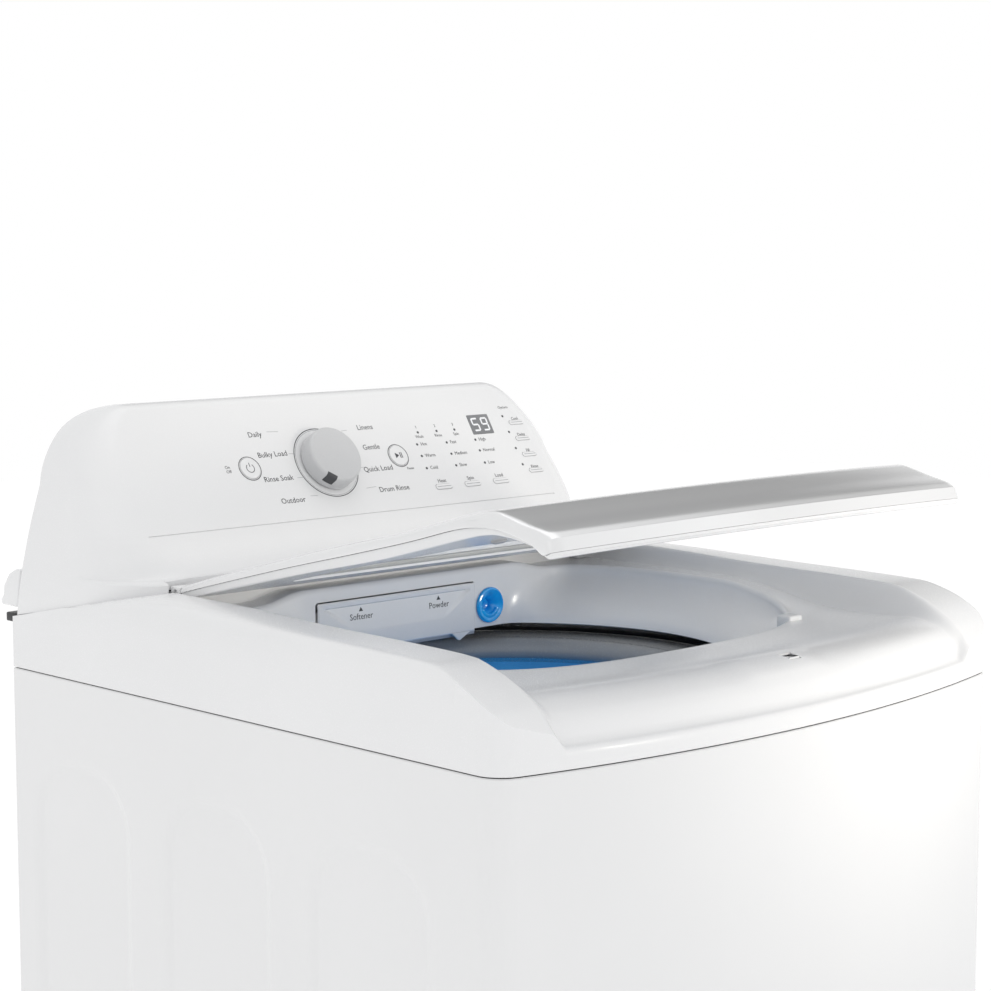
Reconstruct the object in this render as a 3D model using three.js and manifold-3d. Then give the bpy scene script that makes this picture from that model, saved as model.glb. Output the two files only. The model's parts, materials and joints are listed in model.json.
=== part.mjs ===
// Top load washing machine with a soft-closing lid, built in millimetres.
// +Z is up, -Y is the front, and the origin is on the floor under the middle of the machine.
import * as THREE from 'three';
import * as BufferGeometryUtils from 'three/addons/utils/BufferGeometryUtils.js';
import Module from 'manifold-3d';

const wasm = await Module();
wasm.setup();

// ---------------------------------------------------------------- driving dimensions
const HALF_WIDTH = 343;
const REAR_Y = 348;
const FRONT_Y = -386;
const FRONT_CORNER_Y = -342;
const CORNER_RADIUS = 28;
const SEAM_Z = 868;
const SEAM_GAP = 0.5;
const SHEET = 1.1;
const BASE_Z = 25;
const BASE_HEIGHT = 32;
const FOOT_INSET = 48;

const COVER_WALL = 3;
const CHEEK_Z = 960;
const POCKET_HALF = 289;
const POCKET_REAR_Y = 163;
const POCKET_FLOOR_Z = 938;

const MOUTH_RADIUS = 211;
const MOUTH_FRONT_REACH = 208;
const MOUTH_TOP_HALF = 258;
const MOUTH_SKIRT_Z = 883;
const MOUTH_Y = -30;
const BACK_WALL_Y = 130;

const CONSOLE_TOP_Z = 1130;
const CONSOLE_WALL = 3;
const PANEL_TILT = THREE.MathUtils.degToRad(32);
const PANEL_FOOT = new THREE.Vector3(0, 202, 1007);
const EAR_Y = 150;

const HINGE_Y = 154;
const HINGE_Z = 957;
const LID_REST = THREE.MathUtils.degToRad(15);
const LID_HALF = 286;
const LID_BOW = 27;
const LID_MID = 8.5;
const PIN_RADIUS = 3.5;
const KNUCKLE_INNER = 236;
const KNUCKLE_OUTER = 261;

const TUB_Y = -14;
const TUB_RADIUS = 285;
const TUB_FLOOR_Z = 360;
const TUB_TOP_Z = 856;
const BASKET_RADIUS = 256;
const BASKET_FLOOR_Z = 402;
const BASKET_TOP_Z = 832;
const RING_TOP_Z = 870;
const RING_LIP_RADIUS = 185;
const SHAFT_RADIUS = 12;
const LUG_OFFSET = 262;
const LUG_Z = 425;

const DRAWER_LEFT = -131;
const DRAWER_RIGHT = 85;
const DRAWER_BOTTOM = 881;
const DRAWER_TOP = 932.5;
const NOZZLE_X = 108;
const NOZZLE_Z = 906;

const KNOB = { x: -28, t: 62.6, radius: 33, height: 20 };
const ROUND_BUTTONS = [
  { name: 'power_button', x: -129.3, t: 63.2 },
  { name: 'start_button', x: 73.8, t: 63.2 },
];
const ROUND_BUTTON_RADIUS = 12;
const KEYS = [
  { name: 'temp_key', x: 121, t: 21.6, length: 24, width: 6 },
  { name: 'spin_key', x: 164.5, t: 21.6, length: 24, width: 6 },
  { name: 'soil_key', x: 208, t: 21.6, length: 24, width: 6 },
  { name: 'option_key_1', x: 268, t: 92, length: 22, width: 5 },
  { name: 'option_key_2', x: 268, t: 71.5, length: 22, width: 5 },
  { name: 'option_key_3', x: 268, t: 51, length: 22, width: 5 },
  { name: 'option_key_4', x: 268, t: 30.5, length: 22, width: 5 },
];
const DISPLAY = { x: 212, t: 93, width: 32, height: 24 };
const BUMPER_X = 200;
const BUMPER_Y = -208;
const PAD_Z = 925;
const STRIKE_X = 25;
const STRIKE_Y = -344;
const FIT = 0.3;
const FAR = 900;

// ---------------------------------------------------------------- materials
const finish = (color, roughness, metalness = 0) =>
  new THREE.MeshStandardMaterial({ color, roughness, metalness });

const MATERIALS = {
  enamel: () => finish(0xf1f2f3, 0.28),
  plastic: () => finish(0xf4f4f5, 0.3),
  grey: () => finish(0xb9bcc0, 0.45),
  ring: () => finish(0x8d9195, 0.35),
  tub: () => finish(0xd9dcdf, 0.55),
  blue: () => finish(0x1c74c4, 0.2),
  steel: () => finish(0xb6c8d8, 0.3, 0.9),
  zinc: () => finish(0x9b9ea2, 0.4, 0.9),
  alloy: () => finish(0xa9acb0, 0.45, 0.8),
  black: () => finish(0x151618, 0.5),
  rubber: () => finish(0x1d1d1f, 0.85),
  glass: () => finish(0x9fb0ba, 0.05),
  board: () => finish(0x2c5a3c, 0.6),
};

// ---------------------------------------------------------------- geometry helpers
// A position-only geometry with shared corners and its faces turned outwards.
function clean(geometry) {
  const bare = new THREE.BufferGeometry();
  bare.setAttribute('position', geometry.getAttribute('position').clone());
  if (geometry.index) bare.setIndex(geometry.index.clone());
  const merged = BufferGeometryUtils.mergeVertices(bare, 1e-4);
  const p = merged.getAttribute('position');
  const index = Array.from(merged.index.array);
  const kept = [];
  let volume = 0;
  const a = new THREE.Vector3();
  const b = new THREE.Vector3();
  const c = new THREE.Vector3();
  for (let i = 0; i < index.length; i += 3) {
    const [i0, i1, i2] = index.slice(i, i + 3);
    if (i0 === i1 || i1 === i2 || i0 === i2) continue;
    a.fromBufferAttribute(p, i0);
    b.fromBufferAttribute(p, i1);
    c.fromBufferAttribute(p, i2);
    volume += a.dot(b.cross(c)) / 6;
    kept.push(i0, i1, i2);
  }
  if (volume < 0) {
    for (let i = 0; i < kept.length; i += 3) {
      [kept[i], kept[i + 1]] = [kept[i + 1], kept[i]];
    }
  }
  merged.setIndex(kept);
  return merged;
}

function solid(geometry) {
  const g = clean(geometry);
  return new wasm.Manifold(new wasm.Mesh({
    numProp: 3,
    vertProperties: new Float32Array(g.getAttribute('position').array),
    triVerts: new Uint32Array(g.index.array),
  }));
}

function fromSolid(manifold) {
  const m = manifold.getMesh();
  const g = new THREE.BufferGeometry();
  const count = m.vertProperties.length / m.numProp;
  const positions = new Float32Array(count * 3);
  for (let i = 0; i < count; i += 1) {
    for (let k = 0; k < 3; k += 1) positions[i * 3 + k] = m.vertProperties[i * m.numProp + k];
  }
  g.setAttribute('position', new THREE.BufferAttribute(positions, 3));
  g.setIndex(Array.from(m.triVerts));
  return g;
}

const shapeOf = (points) => new THREE.Shape(points.map(([x, y]) => new THREE.Vector2(x, y)));

function prism(points, depth) {
  return new THREE.ExtrudeGeometry(shapeOf(points), { depth, bevelEnabled: false, steps: 1 });
}

// A plan outline (x, y) raised from z0 to z1.
const upright = (points, z0, z1) => prism(points, z1 - z0).translate(0, 0, z0);

// A side outline (y, z) drawn out along X from x0 to x1.
function sideways(points, x0, x1) {
  const turn = new THREE.Matrix4().set(0, 0, 1, x0, 1, 0, 0, 0, 0, 1, 0, 0, 0, 0, 0, 1);
  return prism(points, x1 - x0).applyMatrix4(turn);
}

// A front outline (x, z) drawn out along Y from y0 to y1.
function lengthways(points, y0, y1) {
  const turn = new THREE.Matrix4().set(1, 0, 0, 0, 0, 0, -1, y1, 0, 1, 0, 0, 0, 0, 0, 1);
  return prism(points, y1 - y0).applyMatrix4(turn);
}

function block(x0, x1, y0, y1, z0, z1) {
  return new THREE.BoxGeometry(x1 - x0, y1 - y0, z1 - z0)
    .translate((x0 + x1) / 2, (y0 + y1) / 2, (z0 + z1) / 2);
}

// A section of (radius, z) points turned about the Z axis; it closes on itself or on the axis.
function turned(section, segments) {
  const onAxis = section[0][0] === 0 && section[section.length - 1][0] === 0;
  const points = onAxis ? section : [...section, section[0]];
  const line = points.map(([r, z]) => new THREE.Vector2(r, z));
  return new THREE.LatheGeometry(line, segments).rotateX(Math.PI / 2);
}

const rod = (radius, z0, z1, segments) =>
  turned([[0, z0], [radius, z0], [radius, z1], [0, z1]], segments);

// A solid through rings of points that all have the same count, with flat ends.
function loft(rings, flatten) {
  const count = rings[0].length;
  const positions = rings.flat(2);
  const index = [];
  for (let r = 0; r < rings.length - 1; r += 1) {
    for (let i = 0; i < count; i += 1) {
      const a = r * count + i;
      const b = r * count + ((i + 1) % count);
      index.push(a, b, b + count, a, b + count, a + count);
    }
  }
  const outline = rings[0].map(flatten);
  const caps = THREE.ShapeUtils.triangulateShape(outline, []);
  const [first] = caps;
  const { isClockWise } = THREE.ShapeUtils;
  const sameWay = isClockWise(first.map((i) => outline[i])) === isClockWise(outline);
  const top = (rings.length - 1) * count;
  for (const cap of caps) {
    const [i, j, k] = sameWay ? cap : [...cap].reverse();
    index.push(k, j, i);
    index.push(top + i, top + j, top + k);
  }
  const g = new THREE.BufferGeometry();
  g.setAttribute('position', new THREE.Float32BufferAttribute(positions, 3));
  g.setIndex(index);
  return g;
}

const onPlan = ([x, y]) => new THREE.Vector2(x, y);
const onSide = ([, y, z]) => new THREE.Vector2(y, z);

function arcPoints(cx, cy, radius, from, to, steps) {
  const points = [];
  for (let i = 0; i <= steps; i += 1) {
    const a = from + ((to - from) * i) / steps;
    points.push([cx + radius * Math.cos(a), cy + radius * Math.sin(a)]);
  }
  return points;
}

function pill(length, width, steps) {
  const r = width / 2;
  const c = length / 2 - r;
  return [
    ...arcPoints(c, 0, r, -Math.PI / 2, Math.PI / 2, steps),
    ...arcPoints(-c, 0, r, Math.PI / 2, (3 * Math.PI) / 2, steps),
  ];
}

// ---------------------------------------------------------------- shared outlines
const BOW = FRONT_CORNER_Y - FRONT_Y;
const BOW_RADIUS = (HALF_WIDTH ** 2 + BOW ** 2) / (2 * BOW);
const BOW_CENTRE_Y = FRONT_Y + BOW_RADIUS;

// The machine's outline from above, open at the rear corners, from right to left.
function frontRun(frontInset, sideInset, bowSteps = 12, cornerSteps = 4) {
  const half = HALF_WIDTH - sideInset;
  const reach = BOW_RADIUS - frontInset;
  const radius = Math.max(CORNER_RADIUS - Math.min(frontInset, sideInset), 4);
  const cx = half - radius;
  const cy = BOW_CENTRE_Y - Math.sqrt((reach - radius) ** 2 - cx ** 2);
  const meet = Math.atan2(cy - BOW_CENTRE_Y, cx);
  return [
    ...arcPoints(cx, cy, radius, 0, meet, cornerSteps),
    ...arcPoints(0, BOW_CENTRE_Y, reach, meet, -Math.PI - meet, bowSteps).slice(1, -1),
    ...arcPoints(-cx, cy, radius, -Math.PI - meet, -Math.PI, cornerSteps),
  ];
}

function plan(frontInset, sideInset, rearInset = 0) {
  const half = HALF_WIDTH - sideInset;
  const rear = REAR_Y - rearInset;
  return [[half, rear], ...frontRun(frontInset, sideInset), [-half, rear]];
}

// ---------------------------------------------------------------- cabinet
function cabinetShell() {
  const flange = 18;
  const outer = frontRun(0, 0);
  const inner = frontRun(SHEET, SHEET).reverse();
  const right = HALF_WIDTH - SHEET;
  const outline = [
    [HALF_WIDTH - flange, REAR_Y - SHEET],
    [HALF_WIDTH - flange, REAR_Y],
    [HALF_WIDTH, REAR_Y],
    ...outer,
    [-HALF_WIDTH, REAR_Y],
    [flange - HALF_WIDTH, REAR_Y],
    [flange - HALF_WIDTH, REAR_Y - SHEET],
    [-right, REAR_Y - SHEET],
    ...inner,
    [right, REAR_Y - SHEET],
  ];
  return upright(outline, BASE_Z, SEAM_Z - SEAM_GAP);
}

function rearPanel() {
  const y1 = REAR_Y - SHEET - FIT;
  return block(-HALF_WIDTH + 4, HALF_WIDTH - 4, y1 - SHEET, y1, BASE_Z + BASE_HEIGHT + FIT, SEAM_Z - 4);
}

function baseFrame() {
  const gap = SHEET + FIT;
  const rail = 46;
  const top = BASE_Z + BASE_HEIGHT;
  const outer = solid(upright(plan(gap, gap, gap), BASE_Z, top));
  const hole = solid(upright(plan(rail, rail, rail), BASE_Z - 1, top + 1));
  return fromSolid(outer.subtract(hole));
}

function foot(x, y) {
  return turned([
    [0, 0], [21, 0], [23, 3], [23, 9], [12, 13], [6, 14], [6, BASE_Z - FIT], [0, BASE_Z - FIT],
  ], 16).translate(x, y, 0);
}

// ---------------------------------------------------------------- top cover
// The deck between the cheeks, as (inwards from the bowed front, above the seam): a rolled bead,
// a shallow scoop behind it, and then up to the floor of the lid's pocket.
const DECK_RINGS = [
  [0, 0], [0, 14], [3, 18], [8, 21], [11, 28], [16, 38], [28, 47], [42, 52], [60, 54],
  [100, 51], [170, 52], [230, 62], [300, 70],
];

function deck(drop) {
  const rings = DECK_RINGS.map(([inset, height]) =>
    plan(inset + drop, 0).map(([x, y]) => [x, y, SEAM_Z + SEAM_GAP + height - drop]));
  const base = rings[0].map(([x, y]) => [x, y, SEAM_Z - drop * 4]);
  return solid(loft([base, ...rings.slice(1)], onPlan));
}

function cheekSide(drop) {
  const z = SEAM_Z;
  return [
    [REAR_Y + 5, z - 20], [FRONT_Y - 20, z - 20], [FRONT_Y - 20, z + 24 - drop],
    [-356 + drop, z + 30 - drop], [-347 + drop, z + 41 - drop], [-335 + drop, z + 53 - drop],
    [-312 + drop, z + 67 - drop], [-288, z + 76 - drop], [-264, z + 84 - drop],
    [-90, z + 86 - drop], [48, z + 90 - drop], [EAR_Y - 1, CHEEK_Z - drop],
    [EAR_Y - 1, CHEEK_Z - 3 - drop], [REAR_Y + 5, z + 50 - drop],
  ];
}

function cheekFront(drop) {
  const half = HALF_WIDTH - drop;
  return [
    [half, SEAM_Z - 20], [half, SEAM_Z + 76 - drop], [half - 3, SEAM_Z + 82 - drop],
    [half - 9, SEAM_Z + 86 - drop], [half - 20, SEAM_Z + 89 - drop], [300, CHEEK_Z + 1 - drop],
    [-300, CHEEK_Z + 1 - drop], [20 - half, SEAM_Z + 89 - drop], [9 - half, SEAM_Z + 86 - drop],
    [3 - half, SEAM_Z + 82 - drop], [-half, SEAM_Z + 76 - drop], [-half, SEAM_Z - 20],
  ];
}

// The mouth is round at the skirt and opens into a wide D at the deck; its back is a flat wall.
function mouth(grow) {
  const steps = 40;
  const power = 2 / 3;
  const ring = (z, half, reach, exponent) => Array.from({ length: steps }, (_, i) => {
    const a = (2 * Math.PI * i) / steps;
    const c = Math.cos(a);
    const s = Math.sin(a);
    return [
      (half + grow) * Math.sign(c) * Math.abs(c) ** exponent,
      MOUTH_Y + (reach + grow) * Math.sign(s) * Math.abs(s) ** exponent,
      z,
    ];
  });
  const funnel = solid(loft([
    ring(SEAM_Z - 30, MOUTH_RADIUS, MOUTH_RADIUS, 1),
    ring(MOUTH_SKIRT_Z, MOUTH_RADIUS, MOUTH_RADIUS, 1),
    ring(POCKET_FLOOR_Z - 20, MOUTH_TOP_HALF - 14, MOUTH_FRONT_REACH, power + 0.1),
    ring(POCKET_FLOOR_Z, MOUTH_TOP_HALF, MOUTH_FRONT_REACH, power),
    ring(POCKET_FLOOR_Z + 30, MOUTH_TOP_HALF, MOUTH_FRONT_REACH, power),
  ], onPlan));
  const ahead = solid(block(-FAR, FAR, -FAR, BACK_WALL_Y + grow, 0, 2 * FAR));
  return funnel.intersect(ahead);
}

function coverMass(inset) {
  const full = solid(upright(plan(inset, inset, inset), SEAM_Z + SEAM_GAP - inset * 4, CHEEK_Z + 20))
    .intersect(solid(sideways(cheekSide(inset), -FAR, FAR)))
    .intersect(solid(lengthways(cheekFront(inset), -FAR, FAR)));
  const half = POCKET_HALF + inset;
  const pocket = solid(block(-half, half, -FAR, POCKET_REAR_Y + inset, SEAM_Z - 50, 2 * FAR));
  const bay = solid(block(-half - 1, half + 1, -FAR, POCKET_REAR_Y + inset + 1, 0, 2 * FAR));
  const low = deck(inset).intersect(bay);
  return full.subtract(pocket).add(low.intersect(solid(upright(plan(inset, inset, inset), 0, 2 * FAR))));
}

function topCover() {
  const skirt = solid(upright(
    arcPoints(0, MOUTH_Y, MOUTH_RADIUS + COVER_WALL, 0, 2 * Math.PI, 40).slice(0, -1),
    MOUTH_SKIRT_Z, POCKET_FLOOR_Z - 10,
  )).intersect(solid(block(-FAR, FAR, -FAR, BACK_WALL_Y + COVER_WALL, 0, 2 * FAR)));
  const under = solid(block(-FAR, FAR, -FAR, FAR, SEAM_Z - 60, MOUTH_SKIRT_Z));
  const hollow = coverMass(COVER_WALL).subtract(mouth(COVER_WALL).subtract(under)).subtract(skirt);
  const drawerHole = solid(block(
    DRAWER_LEFT - 2, DRAWER_RIGHT + 2, BACK_WALL_Y - 20, BACK_WALL_Y + 20, DRAWER_BOTTOM - 1.5, DRAWER_TOP + 1,
  ));
  const nozzleHole = solid(rod(14, -20, 20, 20).rotateX(Math.PI / 2).translate(NOZZLE_X, BACK_WALL_Y, NOZZLE_Z));
  const pads = [-1, 1].map((side) => solid(block(
    side * BUMPER_X - 12, side * BUMPER_X + 12, BUMPER_Y - 14, BUMPER_Y + 10, SEAM_Z + 40, PAD_Z,
  )));
  const slot = solid(block(STRIKE_X - 8, STRIKE_X + 8, STRIKE_Y - 6, STRIKE_Y + 7, SEAM_Z + 20, POCKET_FLOOR_Z));
  const body = coverMass(0).subtract(hollow).add(pads[0]).add(pads[1]).subtract(mouth(0))
    .subtract(drawerHole).subtract(nozzleHole).subtract(slot);
  return fromSolid(largestPiece(body));
}

function largestPiece(manifold) {
  const pieces = manifold.decompose();
  return pieces.reduce((best, piece) => (piece.volume() > best.volume() ? piece : best));
}

// ---------------------------------------------------------------- console
const panelUp = new THREE.Vector3(0, Math.sin(PANEL_TILT), Math.cos(PANEL_TILT));
const panelOut = new THREE.Vector3(0, -Math.cos(PANEL_TILT), Math.sin(PANEL_TILT));

// A frame lying on the sloping panel: +X right, +Y up the slope, +Z out of the face.
function onPanel(x, t, lift = 0) {
  const frame = new THREE.Matrix4().makeBasis(new THREE.Vector3(1, 0, 0), panelUp, panelOut);
  const origin = PANEL_FOOT.clone().addScaledVector(panelUp, t).addScaledVector(panelOut, lift);
  origin.x = x;
  return frame.setPosition(origin);
}

function consoleSide(inset) {
  const i = inset;
  return [
    [EAR_Y + i, SEAM_Z + 89.5 - (i ? 6 : 0)], [EAR_Y + i, SEAM_Z + 97 - i], [166, SEAM_Z + 101 - i],
    [178 + i * 0.6, SEAM_Z + 111 - i], [192 + i * 0.8, SEAM_Z + 126 - i * 0.7],
    [202 + i * 0.9, SEAM_Z + 139 - i * 0.5],
    [274.6 + i * 0.8, 1123.2 - i * 0.6], [280, 1128.5 - i], [286, CONSOLE_TOP_Z - i],
    [304 - i * 0.4, 1127.5 - i * 0.9], [318 - i * 0.7, 1120 - i * 0.7], [324.5 - i, 1107], [326 - i, 1083],
    [346 - i, SEAM_Z + 52 - (i ? 6 : 0)],
  ];
}

function consoleFront(inset) {
  const corner = 78 - inset;
  const top = CONSOLE_TOP_Z - inset;
  const shoulder = 322 - inset;
  return [
    [-341 + inset, SEAM_Z + 30], [341 - inset, SEAM_Z + 30], [341 - inset, SEAM_Z + 60],
    ...arcPoints(shoulder - corner, top - corner, corner, 0, Math.PI / 2, 8),
    ...arcPoints(corner - shoulder, top - corner, corner, Math.PI / 2, Math.PI, 8),
    [-341 + inset, SEAM_Z + 60],
  ];
}

function consolePlan(inset) {
  const radius = 96 - inset;
  const half = HALF_WIDTH - 1 - inset;
  const front = 150 + inset;
  return [
    [half, REAR_Y + 20],
    ...arcPoints(half - radius, front + radius, radius, 0, -Math.PI / 2, 8),
    ...arcPoints(radius - half, front + radius, radius, -Math.PI / 2, -Math.PI, 8),
    [-half, REAR_Y + 20],
  ];
}

function consoleMass(inset) {
  const profile = solid(sideways(consoleSide(inset), -FAR, FAR));
  const shoulders = profile.intersect(solid(lengthways(consoleFront(inset), -FAR, FAR)));
  const crease = SEAM_Z + 116;
  const upper = shoulders
    .intersect(solid(upright(consolePlan(inset), crease - 40, CONSOLE_TOP_Z + 20)));
  const lower = shoulders.intersect(solid(sideways([
    [EAR_Y - 5, SEAM_Z + 40], [REAR_Y + 5, SEAM_Z + 20], [REAR_Y + 5, crease - inset],
    [215, crease - inset], [EAR_Y - 5, SEAM_Z + 100 - inset],
  ], -FAR, FAR)));
  const half = POCKET_HALF + 1 + inset;
  const setback = solid(block(-half, half, EAR_Y - 20, POCKET_REAR_Y + 1 + inset, SEAM_Z, CONSOLE_TOP_Z));
  return upper.add(lower).subtract(setback);
}

function displayBlock(grow, low, high) {
  const half = DISPLAY.width / 2 + grow;
  const rise = DISPLAY.height / 2 + grow;
  return block(-half, half, -rise, rise, low, high).applyMatrix4(onPanel(DISPLAY.x, DISPLAY.t));
}

const keyOutline = (key, grow) => pill(key.length + 2 * grow, key.width + 2 * grow, 5);

function consoleHousing() {
  const back = solid(sideways([
    [346 - CONSOLE_WALL - 0.4, SEAM_Z], [REAR_Y + 40, SEAM_Z], [REAR_Y + 40, 1080],
    [326 - CONSOLE_WALL - 0.4, 1080],
  ], -306, 306));
  const cuts = [
    solid(displayBlock(FIT, -9, 9)),
    solid(rod(5.4, -9, 9, 16).applyMatrix4(onPanel(KNOB.x, KNOB.t))),
    ...ROUND_BUTTONS.map((b) => solid(rod(ROUND_BUTTON_RADIUS + 0.5, -9, 9, 20).applyMatrix4(onPanel(b.x, b.t)))),
    ...KEYS.map((k) => solid(upright(keyOutline(k, 0.5), -9, 9).applyMatrix4(onPanel(k.x, k.t)))),
  ];
  const shell = consoleMass(0).subtract(consoleMass(CONSOLE_WALL)).subtract(back);
  return fromSolid(largestPiece(cuts.reduce((body, cut) => body.subtract(cut), shell)));
}

function consoleRearCover() {
  const slab = sideways([
    [346 - CONSOLE_WALL, SEAM_Z + 54], [346, SEAM_Z + 53.4], [326.4, 1079.6], [323.4, 1079.6],
  ], -305.6, 305.6);
  return fromSolid(solid(slab).intersect(consoleMass(0)));
}

const displayWindow = () => displayBlock(0, -CONSOLE_WALL, 0.2);

const controlBoard = () => block(-60, 270, 30, 120, -34, -22).applyMatrix4(onPanel(0, 0));

function dialKnob() {
  const { radius, height } = KNOB;
  return turned([
    [0, -16], [4.8, -16], [4.8, 1], [radius - 5, 1], [radius - 0.5, 2.5], [radius, 5],
    [radius - 1.5, height - 3], [radius - 4, height], [0, height + 1],
  ], 32);
}

const roundButton = () => turned([
  [0, -7], [ROUND_BUTTON_RADIUS, -7], [ROUND_BUTTON_RADIUS, 0.6], [ROUND_BUTTON_RADIUS - 1, 1.4], [0, 1.4],
], 24);

const key = (k) => upright(keyOutline(k, 0), -7, 1);

// ---------------------------------------------------------------- water and detergent
function inletHood() {
  return sideways([
    [346.5, SEAM_Z + 60], [376, SEAM_Z + 60], [376, SEAM_Z + 66], [372.5, SEAM_Z + 70],
    [371, SEAM_Z + 80], [362, SEAM_Z + 92], [350, SEAM_Z + 98], [341, SEAM_Z + 98],
  ], -338, -258);
}

function inletValve() {
  const y = 362;
  const bar = solid(block(-334, -262, y - 13, y + 13, SEAM_Z + 43, SEAM_Z + 59.5));
  const port = (x) => solid(rod(13.2, SEAM_Z + 22, SEAM_Z + 44, 16).translate(x, y, 0))
    .subtract(solid(rod(10, SEAM_Z + 10, SEAM_Z + 40, 12).translate(x, y, 0)));
  return fromSolid(bar.add(port(-318)).add(port(-278)));
}

function dispenserHousing() {
  const y0 = BACK_WALL_Y + COVER_WALL + 0.5;
  const outer = solid(block(DRAWER_LEFT - 5, DRAWER_RIGHT + 5, y0, 256, 876.5, 930.5));
  const room = solid(block(DRAWER_LEFT - 1, DRAWER_RIGHT + 1, y0 - 10, 252, 880, 927));
  return fromSolid(outer.subtract(room));
}

function dispenserDrawer() {
  const front = solid(block(DRAWER_LEFT, DRAWER_RIGHT, BACK_WALL_Y - 3, BACK_WALL_Y + 1, DRAWER_BOTTOM, DRAWER_TOP));
  const box = solid(block(DRAWER_LEFT + 2, DRAWER_RIGHT - 2, BACK_WALL_Y, 246, DRAWER_BOTTOM, 924));
  const [softener, detergent] = [
    [DRAWER_LEFT + 5, -36], [-33, DRAWER_RIGHT - 5],
  ].map(([x0, x1]) => solid(block(x0, x1, BACK_WALL_Y + 4, 243, DRAWER_BOTTOM + 3, 940)));
  return fromSolid(front.add(box).subtract(softener).subtract(detergent));
}

function sprayNozzle() {
  const cup = [
    [0, -22], [12, -22], [12, 0.4], [19, 0.4], [19, 3.5], [16.5, 5], [11, 3], [9, -6], [0, -8],
  ];
  return turned(cup, 24).rotateX(Math.PI / 2).translate(NOZZLE_X, BACK_WALL_Y, NOZZLE_Z);
}

const drainPort = () => turned([
  [10, 0], [24, 0], [24, 4], [15, 4], [15, 28], [10, 28],
], 20).rotateX(-Math.PI / 2).translate(236, REAR_Y - 1.2, 792);

const powerGland = () => turned([
  [4.5, 0], [14, 0], [14, 3], [9, 5], [7, 16], [4.5, 16],
], 16).rotateX(-Math.PI / 2).translate(286, REAR_Y - 1.2, 792);

// ---------------------------------------------------------------- lid
// Lid outlines when shut, as (forward of the hinge, above the hinge).
const LID_TOP = [
  [4, 5.5], [60, 6.5], [161, 6], [236, 5], [330, 2], [400, 2.5], [431, 2],
  [446, 0], [458, -5.5], [477, -16], [497, -26.5], [504.5, -33],
];
const LID_BOTTOM = [
  [4, -6.5], [40, -8], [185, -11.5], [298, -16.5], [352, -17], [420, -17], [440, -19],
  [456, -24], [474, -31], [494, -41], [500.5, -49], [506, -47],
];

// How far a point is carried forward by the bow of the front at this width.
function bowed(forward, x) {
  const share = THREE.MathUtils.smoothstep(forward, 330, 440);
  return forward + share * LID_BOW * (1 - (x / LID_HALF) ** 2);
}

function lidSkin(upper, lower, half) {
  const stations = 12;
  const loop = [...upper, ...[...lower].reverse()];
  const rings = Array.from({ length: stations + 1 }, (_, i) => {
    const x = -half + (2 * half * i) / stations;
    return loop.map(([forward, up]) => [x, HINGE_Y - bowed(forward, x), HINGE_Z + up]);
  });
  return solid(loft(rings, onSide));
}

const between = (low, high, share) => low.map(([a, b], i) => [
  a + (high[i][0] - a) * share, b + (high[i][1] - b) * share,
]);

const LID_SPLIT = LID_MID / 17;

function windowOutline(grow) {
  const half = 226 + grow;
  const rear = HINGE_Y - 70 + grow;
  const side = HINGE_Y - 330 - grow;
  const corner = 26;
  const front = Array.from({ length: 9 }, (_, i) => {
    const x = (half - corner) * (1 - i / 4);
    return [x, side - 16 * (1 - (x / half) ** 2)];
  });
  return [
    ...arcPoints(half - corner, rear - corner, corner, Math.PI / 2, 0, 4),
    ...arcPoints(half - corner, side + corner - 4, corner, 0, -Math.PI / 2.4, 3),
    ...front.slice(1, -1),
    ...arcPoints(corner - half, side + corner - 4, corner, -Math.PI + Math.PI / 2.4, -Math.PI, 3),
    ...arcPoints(corner - half, rear - corner, corner, Math.PI, Math.PI / 2, 4),
  ];
}

function lidTop() {
  const skin = lidSkin(LID_TOP, between(LID_BOTTOM, LID_TOP, 1 - LID_SPLIT), LID_HALF);
  const hole = solid(upright(windowOutline(-9), HINGE_Z - 60, HINGE_Z + 60));
  const seat = solid(upright(windowOutline(0), HINGE_Z - 60, HINGE_Z - 1));
  return fromSolid(skin.subtract(hole).subtract(seat).subtract(hingeNotches()));
}

function lidLiner() {
  const skin = lidSkin(between(LID_BOTTOM, LID_TOP, 1 - LID_SPLIT - 0.03), LID_BOTTOM, LID_HALF - 1.5);
  const hole = solid(upright(windowOutline(-9), HINGE_Z - 60, HINGE_Z + 60));
  const seat = solid(upright(windowOutline(0), HINGE_Z - 6.5, HINGE_Z + 60));
  const knuckle = (side) => {
    const [x0, x1] = side > 0 ? [KNUCKLE_INNER, KNUCKLE_OUTER] : [-KNUCKLE_OUTER, -KNUCKLE_INNER];
    const barrel = solid(rod(6, x0, x1, 16).rotateY(Math.PI / 2).translate(0, HINGE_Y, HINGE_Z));
    const web = solid(block(x0, x1, HINGE_Y - 9, HINGE_Y, HINGE_Z - 6, HINGE_Z - 1.5));
    return barrel.add(web);
  };
  const topSkin = lidSkin(LID_TOP.map(([a, b]) => [a - 1, b + 20]), between(LID_BOTTOM, LID_TOP, 1 - LID_SPLIT)
    .map(([a, b]) => [a - 1, b - 0.2]), LID_HALF + 5);
  return fromSolid(skin.subtract(hole).subtract(seat).subtract(hingeNotches())
    .add(knuckle(1).add(knuckle(-1)).subtract(topSkin)));
}

function hingeNotches() {
  const notch = (x0, x1) => solid(block(x0, x1, HINGE_Y - 13, HINGE_Y + 20, HINGE_Z - 60, HINGE_Z + 60));
  return notch(KNUCKLE_OUTER, FAR).add(notch(-FAR, -KNUCKLE_OUTER));
}

const lidWindow = () => upright(windowOutline(-FIT), HINGE_Z - 6, HINGE_Z - 1.4);

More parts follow.
